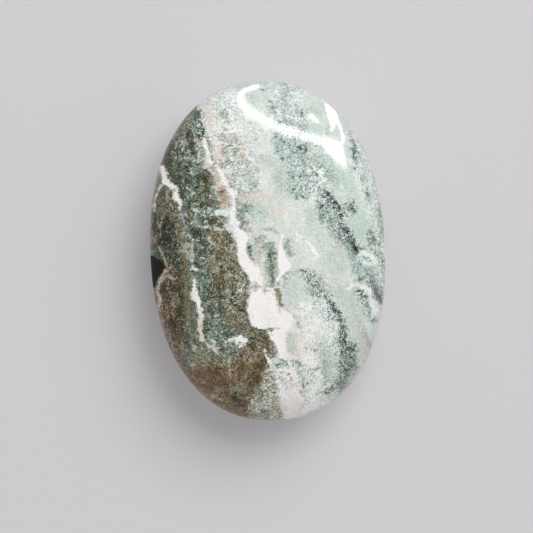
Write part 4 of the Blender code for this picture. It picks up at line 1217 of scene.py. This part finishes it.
# Thin veils of other minerals' colours over the pattern.
STAINS: tuple[Spots, ...] = (
    Spots(screen_colour(172, 138, 118), Rim.GRAINY, ((-11.2, 17, 0.8, 1.3),), 0.6),
    Spots(screen_colour(188, 160, 142), Rim.GRAINY, (
        (-9.3, 13.2, 0.7, 0.8), (-8.5, 11.6, 0.4, 0.7),
    ), 0.4),
    Spots(screen_colour(98, 90, 48), Rim.GRAINY, (
        (-19.4, -3.6, 0.7, 3.4), (-19.8, -12.4, 0.4, 3.2), (-17.5, -13.4, 0.3, 2.6),
        (-21.4, -18.6, 1, 1.8), (-13.4, -30.6, 3, 1.6), (-6.8, -26.4, 2, 1.6),
    ), 0.35),
    Spots(screen_colour(160, 146, 140), Rim.GRAINY, (
        (-18.2, 29, 0.8, 0.7), (-16.6, -32.6, 1.6, 1.4), (-20.6, -22.4, 1, 1.4),
    ), 0.25),
    Spots(screen_colour(222, 192, 168), Rim.GRAINY, (
        (-0.3, 12.8, 0.9, 0.3, -15), (1.5, 9.8, 0.25, 0.7, 10),
    ), 0.7),
    Spots(screen_colour(226, 212, 196), Rim.MISTY, (
        (-4.2, 12.4, 2, 0.7), (0.6, 26.2, 0.3, 2), (5.5, -20.8, 0.3, 0.9), (2.6, 8.3, 1, 0.5),
    ), 0.5),
    Spots(screen_colour(234, 218, 218), Rim.MISTY, ((4.2, -35.2, 2.2, 3.4),), 0.5),
    Spots(screen_colour(224, 216, 208), Rim.CLOUD, ((7, -20, 2.2, 3),), 0.3),
    Spots(screen_colour(228, 206, 200), Rim.GRAINY, ((-10.4, 24.4, 0.4, 2.6),), 0.4),
    Spots(screen_colour(226, 216, 198), Rim.GRAINY, ((-12.2, 33, 1, 1.4), (-11.6, 29.5, 0.6, 1.6)), 0.4),
    Spots(screen_colour(176, 148, 140), Rim.GRAINY, ((-26, 4, 0.4, 0.8, -15),), 0.6),
    Spots(screen_colour(206, 208, 222), Rim.MISTY, ((-7.4, 7, 0.7, 1.2), (22.4, -11.6, 1, 2.6, 8)), 0.15),
    Spots(screen_colour(158, 158, 168), Rim.GRAINY, (
        (-18.6, 9.4, 0.6, 2.4, 6), (-19.2, 10.4, 0.5, 0.9),
    ), 0.25),
    Spots(screen_colour(58, 84, 88), Rim.GRAINY, ((-25.4, 0.1, 0.6, 0.5, 30),), 0.7),
)

PATTERN = (
    ("ground", GROUND), ("upper_left", UPPER_LEFT), ("middle_left", MIDDLE_LEFT), ("left_strip", LEFT_STRIP),
    ("lower_left", LOWER_LEFT), ("middle", MIDDLE), ("veins", VEINS), ("right", RIGHT), ("flecks", FLECKS),
    ("hollow", HOLLOW),
)

RAMP_DEPTHS = (0.0, 0.1, 0.25, 0.5, 0.75, 1.0)


def rock_ramp(*colours: tuple[int, int, int]) -> Ramp:
    """Colours of one hue of the rock, from white to black, at the depths of RAMP_DEPTHS."""
    return tuple((depth, screen_colour(*colour)) for depth, colour in zip(RAMP_DEPTHS, colours))


# All five ramps are as pale as each other at each depth.
SLATE_RAMP = rock_ramp(
    (243, 243, 246), (212, 217, 217), (178, 190, 189), (121, 132, 133), (63, 73, 78), (14, 17, 20),
)
JADE_RAMP = rock_ramp(
    (239, 244, 241), (206, 222, 212), (168, 190, 176), (107, 128, 110), (52, 72, 53), (10, 18, 13),
)
GREY_RAMP = rock_ramp(
    (243, 243, 242), (213, 218, 212), (179, 190, 180), (124, 132, 115), (68, 75, 57), (12, 14, 11),
)
BROWN_RAMP = rock_ramp(
    (244, 238, 235), (220, 214, 206), (193, 184, 168), (138, 126, 100), (84, 70, 46), (12, 8, 6),
)
RUST_RAMP = rock_ramp(
    (240, 230, 228), (225, 208, 202), (205, 178, 162), (158, 120, 95), (98, 62, 41), (22, 10, 7),
)

FLOAT, VECTOR, COLOUR = "NodeSocketFloat", "NodeSocketVector", "NodeSocketColor"
EDGE_SOCKETS = tuple((name, FLOAT) for name in ("crumble", "wander", "outside", "inside", "strength"))
SEAM_SOCKETS = tuple((name, FLOAT) for name in ("x", "spine", "half_width"))
OVAL_SOCKETS = tuple((name, VECTOR) for name in ("plan", "across", "along"))
REGION_SOCKETS = (("plan", VECTOR), ("x", FLOAT), ("y", FLOAT), ("crumble", FLOAT))


@dataclass(frozen=True)
class Polish:
    """The ground and polished finish of the stone: how rough it is, and how its light bends.

    The black mineral at the rim has broken out and is matt.
    """

    roughness: float = 0.14
    roughness_swing: float = 0.04
    matt_roughness: float = 0.7
    matt_depths: tuple[float, float] = (0.9, 1.0)
    light_bend: float = 1.43
    blotches: Cloud = Cloud(5.0, 3.0, 0.6)
    pits: Cloud = Cloud(1.5, 3.0, 0.6)
    pit_depth: float = 0.0024 * MM


@dataclass(frozen=True)
class GrainMix:
    """One side's crystals, whose size is in millimetres, and dust, and the share of each layer.

    Crystals and patches have edges, and dust is cloudy.
    """

    crystal: float
    crystal_share: float
    dust: Cloud
    dust_share: float
    patch_share: float


@dataclass(frozen=True)
class Grains:
    """The grains of the rock, which are finer on the right of the stone. Sizes are millimetres."""

    left: GrainMix = GrainMix(0.33, 0.8, Cloud(0.27, 1.0, 0.6), 0.75, 0.3)
    right: GrainMix = GrainMix(0.21, 0.95, Cloud(0.16, 1.0, 0.6), 0.85, 0.14)
    patch: float = 1.1
    streak: Cloud = Cloud(2.8, 2.0, 0.6)
    streak_share: float = 0.35
    streak_stretch: tuple[float, float, float] = (1.0, 0.45, 1.0)
    fine_from: tuple[float, float] = (-2.0, 6.0)
    jitter: Cloud = Cloud(0.9)
    jitter_shift: float = 0.7
    lean: float = 0.24
    hue_swing: float = 0.15
    hue_cloud: Cloud = Cloud(2.0, 3.0, 0.6)
    hue_cloud_swing: float = 0.15
    tint: Cloud = Cloud(0.5, 1.0)
    tint_pale: float = 0.2
    tint_dark: float = 0.4
    tint_balance: tuple[float, float, float] = (0.8, 0.6, 1.5)


def new_group(name: str, paint: str, inputs: Iterable[tuple[str, str]]) -> NodeSheet:
    """Start a node group that paints over what is under it.

    Args:
        name: Name of the group.
        paint: Kind of socket of what is painted.
        inputs: Names and kinds of the group's other inputs.

    Returns:
        The sheet of the group's own tree.
    """
    tree = bpy.data.node_groups.new(name, "ShaderNodeTree")
    for socket_name, kind in (("under", paint), *inputs):
        tree.interface.new_socket(socket_name, in_out="INPUT", socket_type=kind)
    tree.interface.new_socket("painted", in_out="OUTPUT", socket_type=paint)
    return NodeSheet(tree)


class Brushes:
    """Node groups that paint a feature over the tone, or a stain over the colour, at each place.

    Each group takes how much the edges crumble at the place, how far an edge wanders with that,
    and the distances between which the feature fades out.
    """

    def __init__(self) -> None:
        """Make the groups."""
        self.oval = self.group("oval_feature", VECTOR, oval=True)
        self.seam = self.group("seam_feature", VECTOR, oval=False)
        self.stain = self.group("oval_stain", COLOUR, oval=True)

    def group(self, name: str, paint: str, oval: bool) -> bpy.types.NodeTree:
        """Make one group.

        Args:
            name: Name of the group.
            paint: Kind of socket of what is painted.
            oval: Whether the feature is an oval. Otherwise it is a seam.

        Returns:
            The node tree of the group.
        """
        shape = OVAL_SOCKETS if oval else SEAM_SOCKETS
        sheet = new_group(name, paint, (("over", paint), *EDGE_SOCKETS, *shape))
        given = sheet.add("NodeGroupInput").outputs
        if oval:
            across, along = (sheet.dot(given["plan"], given[row]) for row in ("across", "along"))
            square = sheet.math("MULTIPLY_ADD", along, along, sheet.math("MULTIPLY", across, across))
            away = sheet.math("SQRT", square)
        else:
            away = sheet.math("ABSOLUTE", sheet.math("SUBTRACT", given["x"], given["spine"]))
            away = sheet.math("SUBTRACT", away, given["half_width"])
        distance = sheet.math("MULTIPLY_ADD", given["crumble"], given["wander"], away)
        share = sheet.step(distance, given["outside"], given["inside"], given["strength"])
        painted = sheet.mix("RGBA" if paint == COLOUR else "VECTOR", share, given["under"], given["over"])
        sheet.filled(sheet.add("NodeGroupOutput"), painted)
        return sheet.tree


@dataclass
class Region:
    """A node group that paints the features of one region of the stone, one over the other.

    Beyond its first and its last station, a seam closes within the closing length.
    """

    name: str
    features: Features
    brushes: Brushes
    paint: str = VECTOR
    closing: float = 0.7
    shut_wanders: float = 3.0

    def build(self) -> bpy.types.NodeTree:
        """Make the group.

        Returns:
            The node tree of the group.
        """
        self.sheet = new_group(self.name, self.paint, REGION_SOCKETS)
        self.given = self.sheet.add("NodeGroupInput").outputs
        painted = self.given["under"]
        for feature in self.features:
            brush = self.seam if isinstance(feature, Seam) else self.spots
            painted = brush(feature, painted)
        self.sheet.filled(self.sheet.add("NodeGroupOutput"), painted)
        return self.sheet.tree

    def painted(self, group: bpy.types.NodeTree, feature: Seam | Spots, **inputs: object) -> Socket:
        """Add a brush for one feature.

        Args:
            group: The node group of the brush.
            feature: The feature.
            inputs: What the brush's other inputs get.

        Returns:
            The tone or colour with the feature painted over it.
        """
        brush = self.sheet.add("ShaderNodeGroup", node_tree=group)
        wander = feature.rim.value.wander
        inputs |= {"crumble": self.given["crumble"], "wander": wander, "strength": feature.strength}
        return self.sheet.filled(brush, **inputs).outputs[0]

    def seam(self, seam: Seam, under: Socket) -> Socket:
        """Paint a seam.

        Args:
            seam: The seam.
            under: The tone under it.

        Returns:
            The tone with the seam over it.
        """
        rim = seam.rim.value
        places = [(y, (left + right) / 2.0, (right - left) / 2.0) for y, left, right in sorted(seam.stations)]
        shut = -(rim.fade + self.shut_wanders * rim.wander)
        (low, low_middle, _), (high, high_middle, _) = places[0], places[-1]
        places.insert(0, (low - self.closing, low_middle, shut))
        places.append((high + self.closing, high_middle, shut))
        spine = self.sheet.curve(self.given["y"], [(y, middle) for y, middle, _ in places])
        half_width = self.sheet.curve(self.given["y"], [(y, half) for y, _, half in places])
        return self.painted(
            self.brushes.seam, seam, under=under, over=seam.tone.as_vector(), x=self.given["x"], spine=spine,
            half_width=half_width, outside=rim.fade, inside=-rim.fade,
        )

    def spots(self, spots: Spots, under: Socket) -> Socket:
        """Paint the spots of one tone, or of one mineral's colour, one after another.

        Args:
            spots: The spots.
            under: The tone or colour under them.

        Returns:
            The tone or colour with the spots over it.
        """
        rim = spots.rim.value
        tone = isinstance(spots.paint, Tone)
        group = self.brushes.oval if tone else self.brushes.stain
        over = spots.paint.as_vector() if tone else spots.paint
        for x, y, across, along, *turn in spots.ovals:
            reach = min(across, along)
            angle = math.radians(sum(turn))
            cosine, sine = math.cos(angle), math.sin(angle)
            under = self.painted(
                group, spots, under=under, over=over, plan=self.given["plan"],
                across=self.row(x, y, cosine, sine, reach / across),
                along=self.row(x, y, -sine, cosine, reach / along),
                outside=reach + rim.fade, inside=reach - rim.fade,
            )
        return under

    def row(self, x: float, y: float, to_x: float, to_y: float, scale: float) -> tuple[float, float, float]:
        """Vector whose dot product with a place (x, y, 1) is how far it lies off x, y towards to_x, to_y."""
        return to_x * scale, to_y * scale, -(to_x * x + to_y * y) * scale


@dataclass
class RockPattern:
    """The stone's colour, painted in order from its broad parts to its smallest specks.

    The pattern on the face that looks up is drawn in plan, as the photograph shows it. The
    photograph is taken from so near that a place shows the further out, the higher it lies. Below
    the widest level the same veins have wandered sideways, because they pass through the stone at
    a slant.
    """

    form: StoneForm
    foot: tuple[float, float]
    sight_distance: float
    polish: Polish = Polish()
    grains: Grains = Grains()
    slant: tuple[float, float, float] = (3.0, 5.0, 0.0)
    drift: Cloud = Cloud(16.0, 1.0)
    drift_shift: float = 14.0
    wiggle: Cloud = Cloud(1.5, 2.0, 0.6)
    wiggle_shift: float = 0.55
    grit: Cloud = Cloud(0.32, 1.0)
    grit_shift: float = 0.5
    crumbs: Cloud = Cloud(0.8, 3.0, 0.8)
    crumble_gain: float = 5.0

    def material(self) -> bpy.types.Material:
        """Make the material of the stone.

        Returns:
            The material.
        """
        material, self.sheet = new_material("polished_stone")
        self.lay_out()
        brushes = Brushes()
        tone = PALE.as_vector()
        for name, features in PATTERN:
            tone = self.painted(Region(name, features, brushes), tone)
        colour, depth = self.coloured(tone)
        colour = self.painted(Region("stains", STAINS, brushes, COLOUR), colour)
        self.finish(self.tinted(colour, depth), depth)
        return material

    def painted(self, region: Region, under: object) -> Socket:
        """Paint a region over what is under it."""
        node = self.sheet.add("ShaderNodeGroup", node_tree=region.build())
        return self.sheet.filled(node, under, self.plan, self.x, self.y, self.crumble).outputs[0]

    def lay_out(self) -> None:
        """Lay out the place that the pattern is drawn in, and the noise that breaks up its edges.

        The plan holds x, y and a 1 that the rows of the spots need.
        """
        sheet = self.sheet
        level = self.form.rim_level / MM
        coordinates = sheet.add("ShaderNodeTexCoord").outputs["Object"]
        self.place = sheet.vector("MULTIPLY_ADD", coordinates, (1.0 / MM,) * 3, (0.0, 0.0, -level))
        height = sheet.dot(self.place, Z_AXIS)
        below = sheet.math("MULTIPLY", height, -1.0 / level, clamp=True)
        nearer = sheet.math("MULTIPLY", height, MM / self.sight_distance, clamp=True)
        from_foot = sheet.vector("SUBTRACT", self.place, (*self.foot, 0.0))
        slip = sheet.vector("ADD", sheet.sway(self.place, self.drift, self.drift_shift), self.slant)
        moved = sheet.vector("ADD", self.place, sheet.scaled(slip, below))
        moved = sheet.vector("ADD", moved, sheet.scaled(from_foot, nearer))
        wiggle = sheet.sway(self.place, self.wiggle, self.wiggle_shift)
        grit = sheet.sway(self.place, self.grit, self.grit_shift)
        moved = sheet.vector("ADD", moved, sheet.vector("ADD", wiggle, grit))
        self.plan = sheet.vector("MULTIPLY_ADD", moved, (1.0, 1.0, 0.0), Z_AXIS)
        self.x = sheet.dot(self.plan, X_AXIS)
        self.y = sheet.dot(self.plan, Y_AXIS)
        self.crumble = sheet.swing(self.place, self.crumbs, self.crumble_gain)

    def layer(self, value: Socket, share: float, under: object = 0.0) -> Socket:
        """Add a chance value from 0 to 1 to the grains, with a spread of share."""
        gain = share * EVEN_GAIN
        return self.sheet.math("ADD", self.sheet.math("MULTIPLY_ADD", value, gain, -0.5 * gain), under)

    def cloud_layer(self, where: Socket, cloud: Cloud, share: float, under: object) -> Socket:
        """Add cloudy noise to the grains, with a spread of about share."""
        return self.sheet.math("ADD", self.sheet.swing(where, cloud, CLOUD_GAIN * share), under)

    def speckle(self, mix: GrainMix, jittered: Socket, patch: Socket) -> Socket:
        """Sum the layers of one side's grains.

        Args:
            mix: Sizes and shares.
            jittered: Place that the crystals are laid out in.
            patch: Chance value of the patch at the place.

        Returns:
            The sum, which swings around nought.
        """
        crystals = self.layer(self.sheet.cells(jittered, mix.crystal)[0], mix.crystal_share)
        dusty = self.cloud_layer(self.place, mix.dust, mix.dust_share, crystals)
        return self.layer(patch, mix.patch_share, dusty)

    def coloured(self, tone: Socket) -> tuple[Socket, Socket]:
        """Give the rock its grains, and turn its tone into colour.

        Pale rock has sparse dark grains, and dark rock has sparse pale ones, so the grains lean
        away from the tone.

        Args:
            tone: The painted tone.

        Returns:
            The colour, and the depth that it stands for.
        """
        sheet, grains = self.sheet, self.grains
        depth, hue, grain = (sheet.dot(tone, axis) for axis in (X_AXIS, Y_AXIS, Z_AXIS))
        jittered = sheet.vector("ADD", self.place, sheet.sway(self.place, grains.jitter, grains.jitter_shift))
        streaked = sheet.vector("MULTIPLY", self.place, grains.streak_stretch)
        right = sheet.step(self.x, *grains.fine_from)
        patches = sheet.cells(jittered, grains.patch)
        sides = (self.speckle(mix, jittered, patches[0]) for mix in (grains.left, grains.right))
        speckle = sheet.mix("FLOAT", right, *sides)
        speckle = self.cloud_layer(streaked, grains.streak, grains.streak_share, speckle)
        lean = sheet.math("MULTIPLY_ADD", depth, -2.0 * grains.lean, grains.lean)
        squares = sheet.math("MULTIPLY_ADD", speckle, speckle, -1.0)
        speckle = sheet.math("MULTIPLY_ADD", squares, lean, speckle)
        depth = sheet.math("MULTIPLY_ADD", grain, speckle, depth, clamp=True)
        hue = self.layer(patches[1], grains.hue_swing, hue)
        hue = self.cloud_layer(streaked, grains.hue_cloud, grains.hue_cloud_swing, hue)
        colour = sheet.ramp(depth, GREY_RAMP)
        for operation, one, other, stops in (
            ("MULTIPLY", hue, -1.0, JADE_RAMP), ("SUBTRACT", -1.0, hue, SLATE_RAMP),
            ("MULTIPLY", hue, 1.0, BROWN_RAMP), ("SUBTRACT", hue, 1.0, RUST_RAMP),
        ):
            share = sheet.math(operation, one, other, clamp=True)
            colour = sheet.mix("RGBA", share, colour, sheet.ramp(depth, stops))
        return colour, depth

    def tinted(self, colour: Socket, depth: Socket) -> Socket:
        """Tint the colour by chance, a little more where the rock is dark.

        Args:
            colour: The rock's colour.
            depth: The depth that it stands for.

        Returns:
            The tinted colour.
        """
        sheet, grains = self.sheet, self.grains
        spread = sheet.math("MULTIPLY_ADD", depth, grains.tint_dark, grains.tint_pale)
        tint = sheet.scaled(sheet.sway(self.place, grains.tint, 1.0), spread)
        tint = sheet.vector("MULTIPLY", tint, grains.tint_balance)
        return sheet.vector("MULTIPLY_ADD", tint, colour, colour)

    def finish(self, colour: Socket, depth: Socket) -> None:
        """Give the coloured rock its polish.

        Args:
            colour: The rock's colour.
            depth: The depth that it stands for.
        """
        sheet, polish = self.sheet, self.polish
        shader = sheet.add("ShaderNodeBsdfPrincipled")
        shader.inputs["IOR"].default_value = polish.light_bend
        blotches = sheet.noise(self.place, polish.blotches).outputs[0]
        low = polish.roughness - polish.roughness_swing / 2.0
        roughness = sheet.math("MULTIPLY_ADD", blotches, polish.roughness_swing, low)
        matt = sheet.step(depth, *polish.matt_depths, polish.matt_roughness)
        pits = sheet.noise(self.place, polish.pits).outputs[0]
        bump = sheet.filled(sheet.add("ShaderNodeBump"), Height=pits, Distance=polish.pit_depth)
        sheet.feed(shader.inputs["Base Color"], colour)
        sheet.filled(shader, Roughness=sheet.math("ADD", roughness, matt), Normal=bump.outputs[0])
        sheet.show(shader)


@dataclass
class PalmStone:
    """The stone itself: one pebble, ground from a block and polished."""

    form: StoneForm
    pattern: RockPattern
    cuts: int = 79

    def build(self) -> bpy.types.Object:
        """Grind the stone from a block, and polish it.

        Returns:
            The stone.
        """
        stone = self.block()
        self.grind(stone)
        stone.data.materials.append(self.pattern.material())
        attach(stone, "root")
        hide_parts("palm_stone")
        return stone

    def block(self) -> bpy.types.Object:
        """Add the block that the stone is ground from, with a fine grid on every face.

        Returns:
            The block.
        """
        bpy.ops.object.select_all(action="DESELECT")
        size = self.form.high - self.form.low
        bpy.ops.mesh.primitive_cube_add(size=1.0, location=self.form.middle, scale=size)
        stone = bpy.context.active_object
        stone.name = stone.data.name = "polished_pebble"
        bpy.ops.object.mode_set(mode="EDIT")
        bpy.ops.mesh.select_all(action="SELECT")
        bpy.ops.mesh.subdivide(number_cuts=self.cuts)
        bpy.ops.object.mode_set(mode="OBJECT")
        bpy.ops.object.transform_apply(location=True, rotation=False, scale=True)
        return stone

    def grind(self, stone: bpy.types.Object) -> None:
        """Move every corner of the block's grid onto the ground surface, and smooth its shading.

        Args:
            stone: The block.
        """
        half, middle = self.form.half_size, self.form.middle
        for corner in stone.data.vertices:
            away = corner.co - middle
            evened = [math.tan(away[axis] / half[axis] * math.pi / 4.0) for axis in range(3)]
            corner.co = self.form.point(Vector(evened).normalized())
        bpy.ops.object.shade_smooth()


@dataclass
class Camera:
    """The camera, straight above the stone, framed as the photograph is.

    Places in the photograph are in pixels, from its left and upper edge.
    """

    form: StoneForm
    photo_side: float = 533.0
    stone_middle: tuple[float, float] = (267.7, 250.8)
    pixels_per_mm: float = 4.346
    lean: float = 0.050
    distance: float = 0.45
    sensor: float = 36.0

    def place(self) -> bpy.types.Object:
        """Add the camera, and make it the scene's.

        Returns:
            The camera.
        """
        data = bpy.data.cameras.new("camera")
        camera = add_object("camera", data)
        data.sensor_width = self.sensor
        data.lens = self.sensor * self.distance / (self.photo_side / self.pixels_per_mm * MM)
        camera.location = self.above()
        camera.rotation_euler = (0.0, 0.0, -self.lean)
        bpy.context.scene.camera = camera
        return camera

    def foot(self) -> tuple[float, float]:
        """Find the point of the stone that the camera stands above.

        Returns:
            Its x and y, in millimetres.
        """
        right = (self.photo_side / 2.0 - self.stone_middle[0]) / self.pixels_per_mm
        up = (self.stone_middle[1] - self.photo_side / 2.0) / self.pixels_per_mm
        x = right * math.cos(self.lean) + up * math.sin(self.lean)
        y = up * math.cos(self.lean) - right * math.sin(self.lean)
        return x, y

    def above(self) -> Vector:
        """Where the camera stands."""
        x, y = self.foot()
        return Vector((x * MM, y * MM, self.form.rim_level + self.distance))


class Hang(Enum):
    """How far from the stone a bright strip hangs, in metres."""

    FAR = 0.45
    NEAR = 0.013


@dataclass(frozen=True)
class Gleam:
    """A bright reflection on the polish.

    Each row is x and y on one edge, and x and y across from it on the other, in millimetres.
    """

    name: str
    strength: float
    hang: Hang
    rows: tuple[tuple[float, float, float, float], ...]


GLEAMS = (
    Gleam("window_sill", 24.0, Hang.FAR, (
        (-5.1, 36.0, -3.9, 35.7), (-5.2, 35.2, -3.5, 34.9), (-5.1, 34.2, -2.9, 34.1),
        (-4.9, 33.2, -2.3, 33.2), (-4.1, 32.1, -1.5, 32.3), (-2.8, 31.2, -0.3, 31.5),
        (-1.2, 30.3, 1.0, 30.7), (0.1, 29.4, 2.2, 30.0), (1.5, 28.3, 3.3, 29.7),
        (2.8, 27.5, 4.4, 29.1), (4.8, 26.7, 6.1, 28.5), (6.9, 25.9, 7.9, 27.7),
        (8.9, 25.1, 9.9, 27.0), (11.0, 24.6, 11.9, 26.0), (13.0, 23.6, 13.9, 25.4),
        (14.4, 22.6, 15.4, 25.2), (15.2, 21.4, 16.8, 24.3), (15.9, 20.4, 18.3, 24.4),
        (16.5, 19.9, 18.7, 22.4), (17.2, 19.3, 18.8, 20.6), (18.0, 18.5, 19.2, 19.0),
    )),
    Gleam("window_head", 16.0, Hang.NEAR, (
        (-5.1, 35.6, -3.9, 35.3), (-4.9, 36.6, -3.9, 36.0), (-4.1, 37.2, -3.2, 36.6),
        (-2.7, 37.8, -2.3, 36.9), (-1.2, 38.2, -1.2, 36.9), (-0.1, 38.3, -0.3, 37.4),
    )),
    Gleam("window_post", 19.0, Hang.NEAR, (
        (14.7, 33.1, 15.1, 33.1), (14.9, 32.3, 15.9, 32.4), (15.0, 31.4, 16.9, 31.5),
        (15.1, 30.4, 17.6, 30.6), (15.3, 29.4, 17.8, 29.6), (15.5, 28.7, 17.7, 28.9),
        (15.8, 28.0, 17.0, 28.3), (15.8, 27.3, 16.6, 27.4), (15.6, 26.5, 16.1, 26.5),
    )),
    Gleam("window_rod", 19.0, Hang.NEAR, (
        (17.2, 28.8, 17.8, 28.9), (17.7, 27.5, 18.3, 27.6), (18.0, 26.2, 18.6, 26.3),
        (18.1, 25.0, 18.9, 25.0), (18.0, 23.8, 18.9, 23.8),
    )),
    Gleam("window_catch", 20.0, Hang.NEAR, (
        (10.6, 30.4, 11.6, 31.0), (11.4, 29.6, 12.6, 30.0), (12.6, 28.6, 13.4, 29.0),
    )),
)


@dataclass
class Studio:
    """A plain pale floor, a soft sky and soft boxes, and bright strips whose gleams lie on the stone.

    The polish blurs a gleam outwards, so each edge of a strip is drawn in by trim, a share of the
    strip's width.
    """

    form: StoneForm
    eye: Vector
    floor_half: float = 1.5
    floor_colour: Colour = screen_colour(205, 203, 205)
    floor_roughness: float = 0.8
    floor_gloss: float = 0.1
    sky_high: Colour = screen_colour(145, 145, 147)
    sky_low: Colour = screen_colour(201, 199, 201)
    sky_heights: tuple[float, float] = (0.15, 0.7)
    box_size: float = 0.9
    key_place: tuple[float, float, float] = (0.5, 0.7, 1.0)
    key_power: float = 11.4
    fill_place: tuple[float, float, float] = (-0.6, -0.5, 1.2)
    fill_power: float = 6.6
    trim: float = 0.09

    def build(self) -> None:
        """Set up the floor, the sky and the lights."""
        self.floor()
        self.sky()
        self.soft_box("key", Vector(self.key_place), self.key_power)
        fill = self.soft_box("fill", Vector(self.fill_place), self.fill_power)
        fill.data.use_shadow = False
        for gleam in GLEAMS:
            self.pane(gleam)

    def floor(self) -> None:
        """Add the plain floor."""
        bpy.ops.object.select_all(action="DESELECT")
        bpy.ops.mesh.primitive_plane_add(size=2.0 * self.floor_half)
        floor = bpy.context.active_object
        floor.name = floor.data.name = "studio_floor"
        material, sheet = new_material("studio_floor")
        shader = sheet.add("ShaderNodeBsdfPrincipled")
        shader.inputs["Base Color"].default_value = self.floor_colour
        shader.inputs["Roughness"].default_value = self.floor_roughness
        shader.inputs["Specular IOR Level"].default_value = self.floor_gloss
        sheet.show(shader)
        floor.data.materials.append(material)

    def sky(self) -> None:
        """Light the room softly from all sides, paler near the horizon."""
        world = bpy.data.worlds.new("studio_sky")
        world.use_nodes = True
        bpy.context.scene.world = world
        sheet = NodeSheet(world.node_tree)
        height = sheet.split(sheet.add("ShaderNodeTexCoord").outputs["Generated"])[2]
        low, high = self.sky_heights
        colour = sheet.ramp(height, ((low, self.sky_low), (high, self.sky_high)))
        sheet.show(sheet.filled(sheet.add("ShaderNodeBackground"), colour), "ShaderNodeOutputWorld")

    def soft_box(self, name: str, place: Vector, power: float) -> bpy.types.Object:
        """Add a square soft light that looks at the stone, and that doesn't show in its polish.

        Args:
            name: Name of the light.
            place: Where it hangs.
            power: Its power in watts.

        Returns:
            The light.
        """
        light = bpy.data.lights.new(name, "AREA")
        light.size = self.box_size
        light.energy = power
        lamp = add_object(name, light)
        lamp.location = place
        lamp.rotation_euler = (-place).to_track_quat("-Z", "Y").to_euler()
        lamp.visible_camera = False
        lamp.visible_glossy = False
        return lamp

    def seen(self, x: float, y: float) -> Vector:
        """Find the point of the stone that the photograph shows at a place.

        Args:
            x: Place across the stone in the photograph, in millimetres at the widest level.
            y: Place along the stone in the photograph.

        Returns:
            The point on the upper face, in metres.
        """
        point = Vector((x * MM, y * MM, self.form.rim_level))
        rise = self.form.face_height(point.x, point.y) - self.form.rim_level
        return point + (self.eye - point) * (rise / (self.eye.z - self.form.rim_level))

    def mirrored(self, place: Vector, distance: float) -> Vector:
        """Find where a bright thing stands whose gleam the camera sees at a place on the stone.

        Args:
            place: Place in the photograph, in millimetres at the widest level.
            distance: How far from the stone it stands.

        Returns:
            A point of the bright thing.
        """
        spot = self.seen(place.x, place.y)
        normal = self.form.face_normal(spot.x, spot.y)
        sight = (self.eye - spot).normalized()
        return spot + (2.0 * normal.dot(sight) * normal - sight) * distance

    def pane(self, gleam: Gleam) -> bpy.types.Object:
        """Hang a bright strip whose reflection in the stone is the gleam.

        Args:
            gleam: The gleam.

        Returns:
            The strip.
        """
        points = []
        for x, y, far_x, far_y in gleam.rows:
            near, far = Vector((x, y)), Vector((far_x, far_y))
            inward = (far - near) * self.trim
            points += [tuple(self.mirrored(end, gleam.hang.value)) for end in (near + inward, far - inward)]
        mesh = bpy.data.meshes.new(gleam.name)
        mesh.from_pydata(points, [], [(i, i + 1, i + 3, i + 2) for i in range(0, len(points) - 2, 2)])
        material, sheet = new_material(gleam.name)
        sheet.show(sheet.filled(sheet.add("ShaderNodeEmission"), Strength=gleam.strength))
        mesh.materials.append(material)
        pane = add_object(gleam.name, mesh)
        pane.visible_camera = pane.visible_diffuse = pane.visible_shadow = False
        return pane


def main() -> None:
    """Build the stone and its studio, and report each piece."""
    logging.basicConfig(level=logging.INFO, format="%(message)s")
    low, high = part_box("palm_stone")
    form = StoneForm(Vector(low), Vector(high))
    camera = Camera(form)
    stone = PalmStone(form, RockPattern(form, camera.foot(), camera.distance)).build()
    LOG.info("%s: %d faces", stone.name, len(stone.data.polygons))
    placed = camera.place()
    LOG.info("%s: lens %.1f mm", placed.name, placed.data.lens)
    Studio(form, placed.location.copy()).build()
    bpy.context.scene.view_settings.view_transform = "Standard"
    LOG.info("studio: floor, sky and lights")


if __name__ == "__main__":
    main()
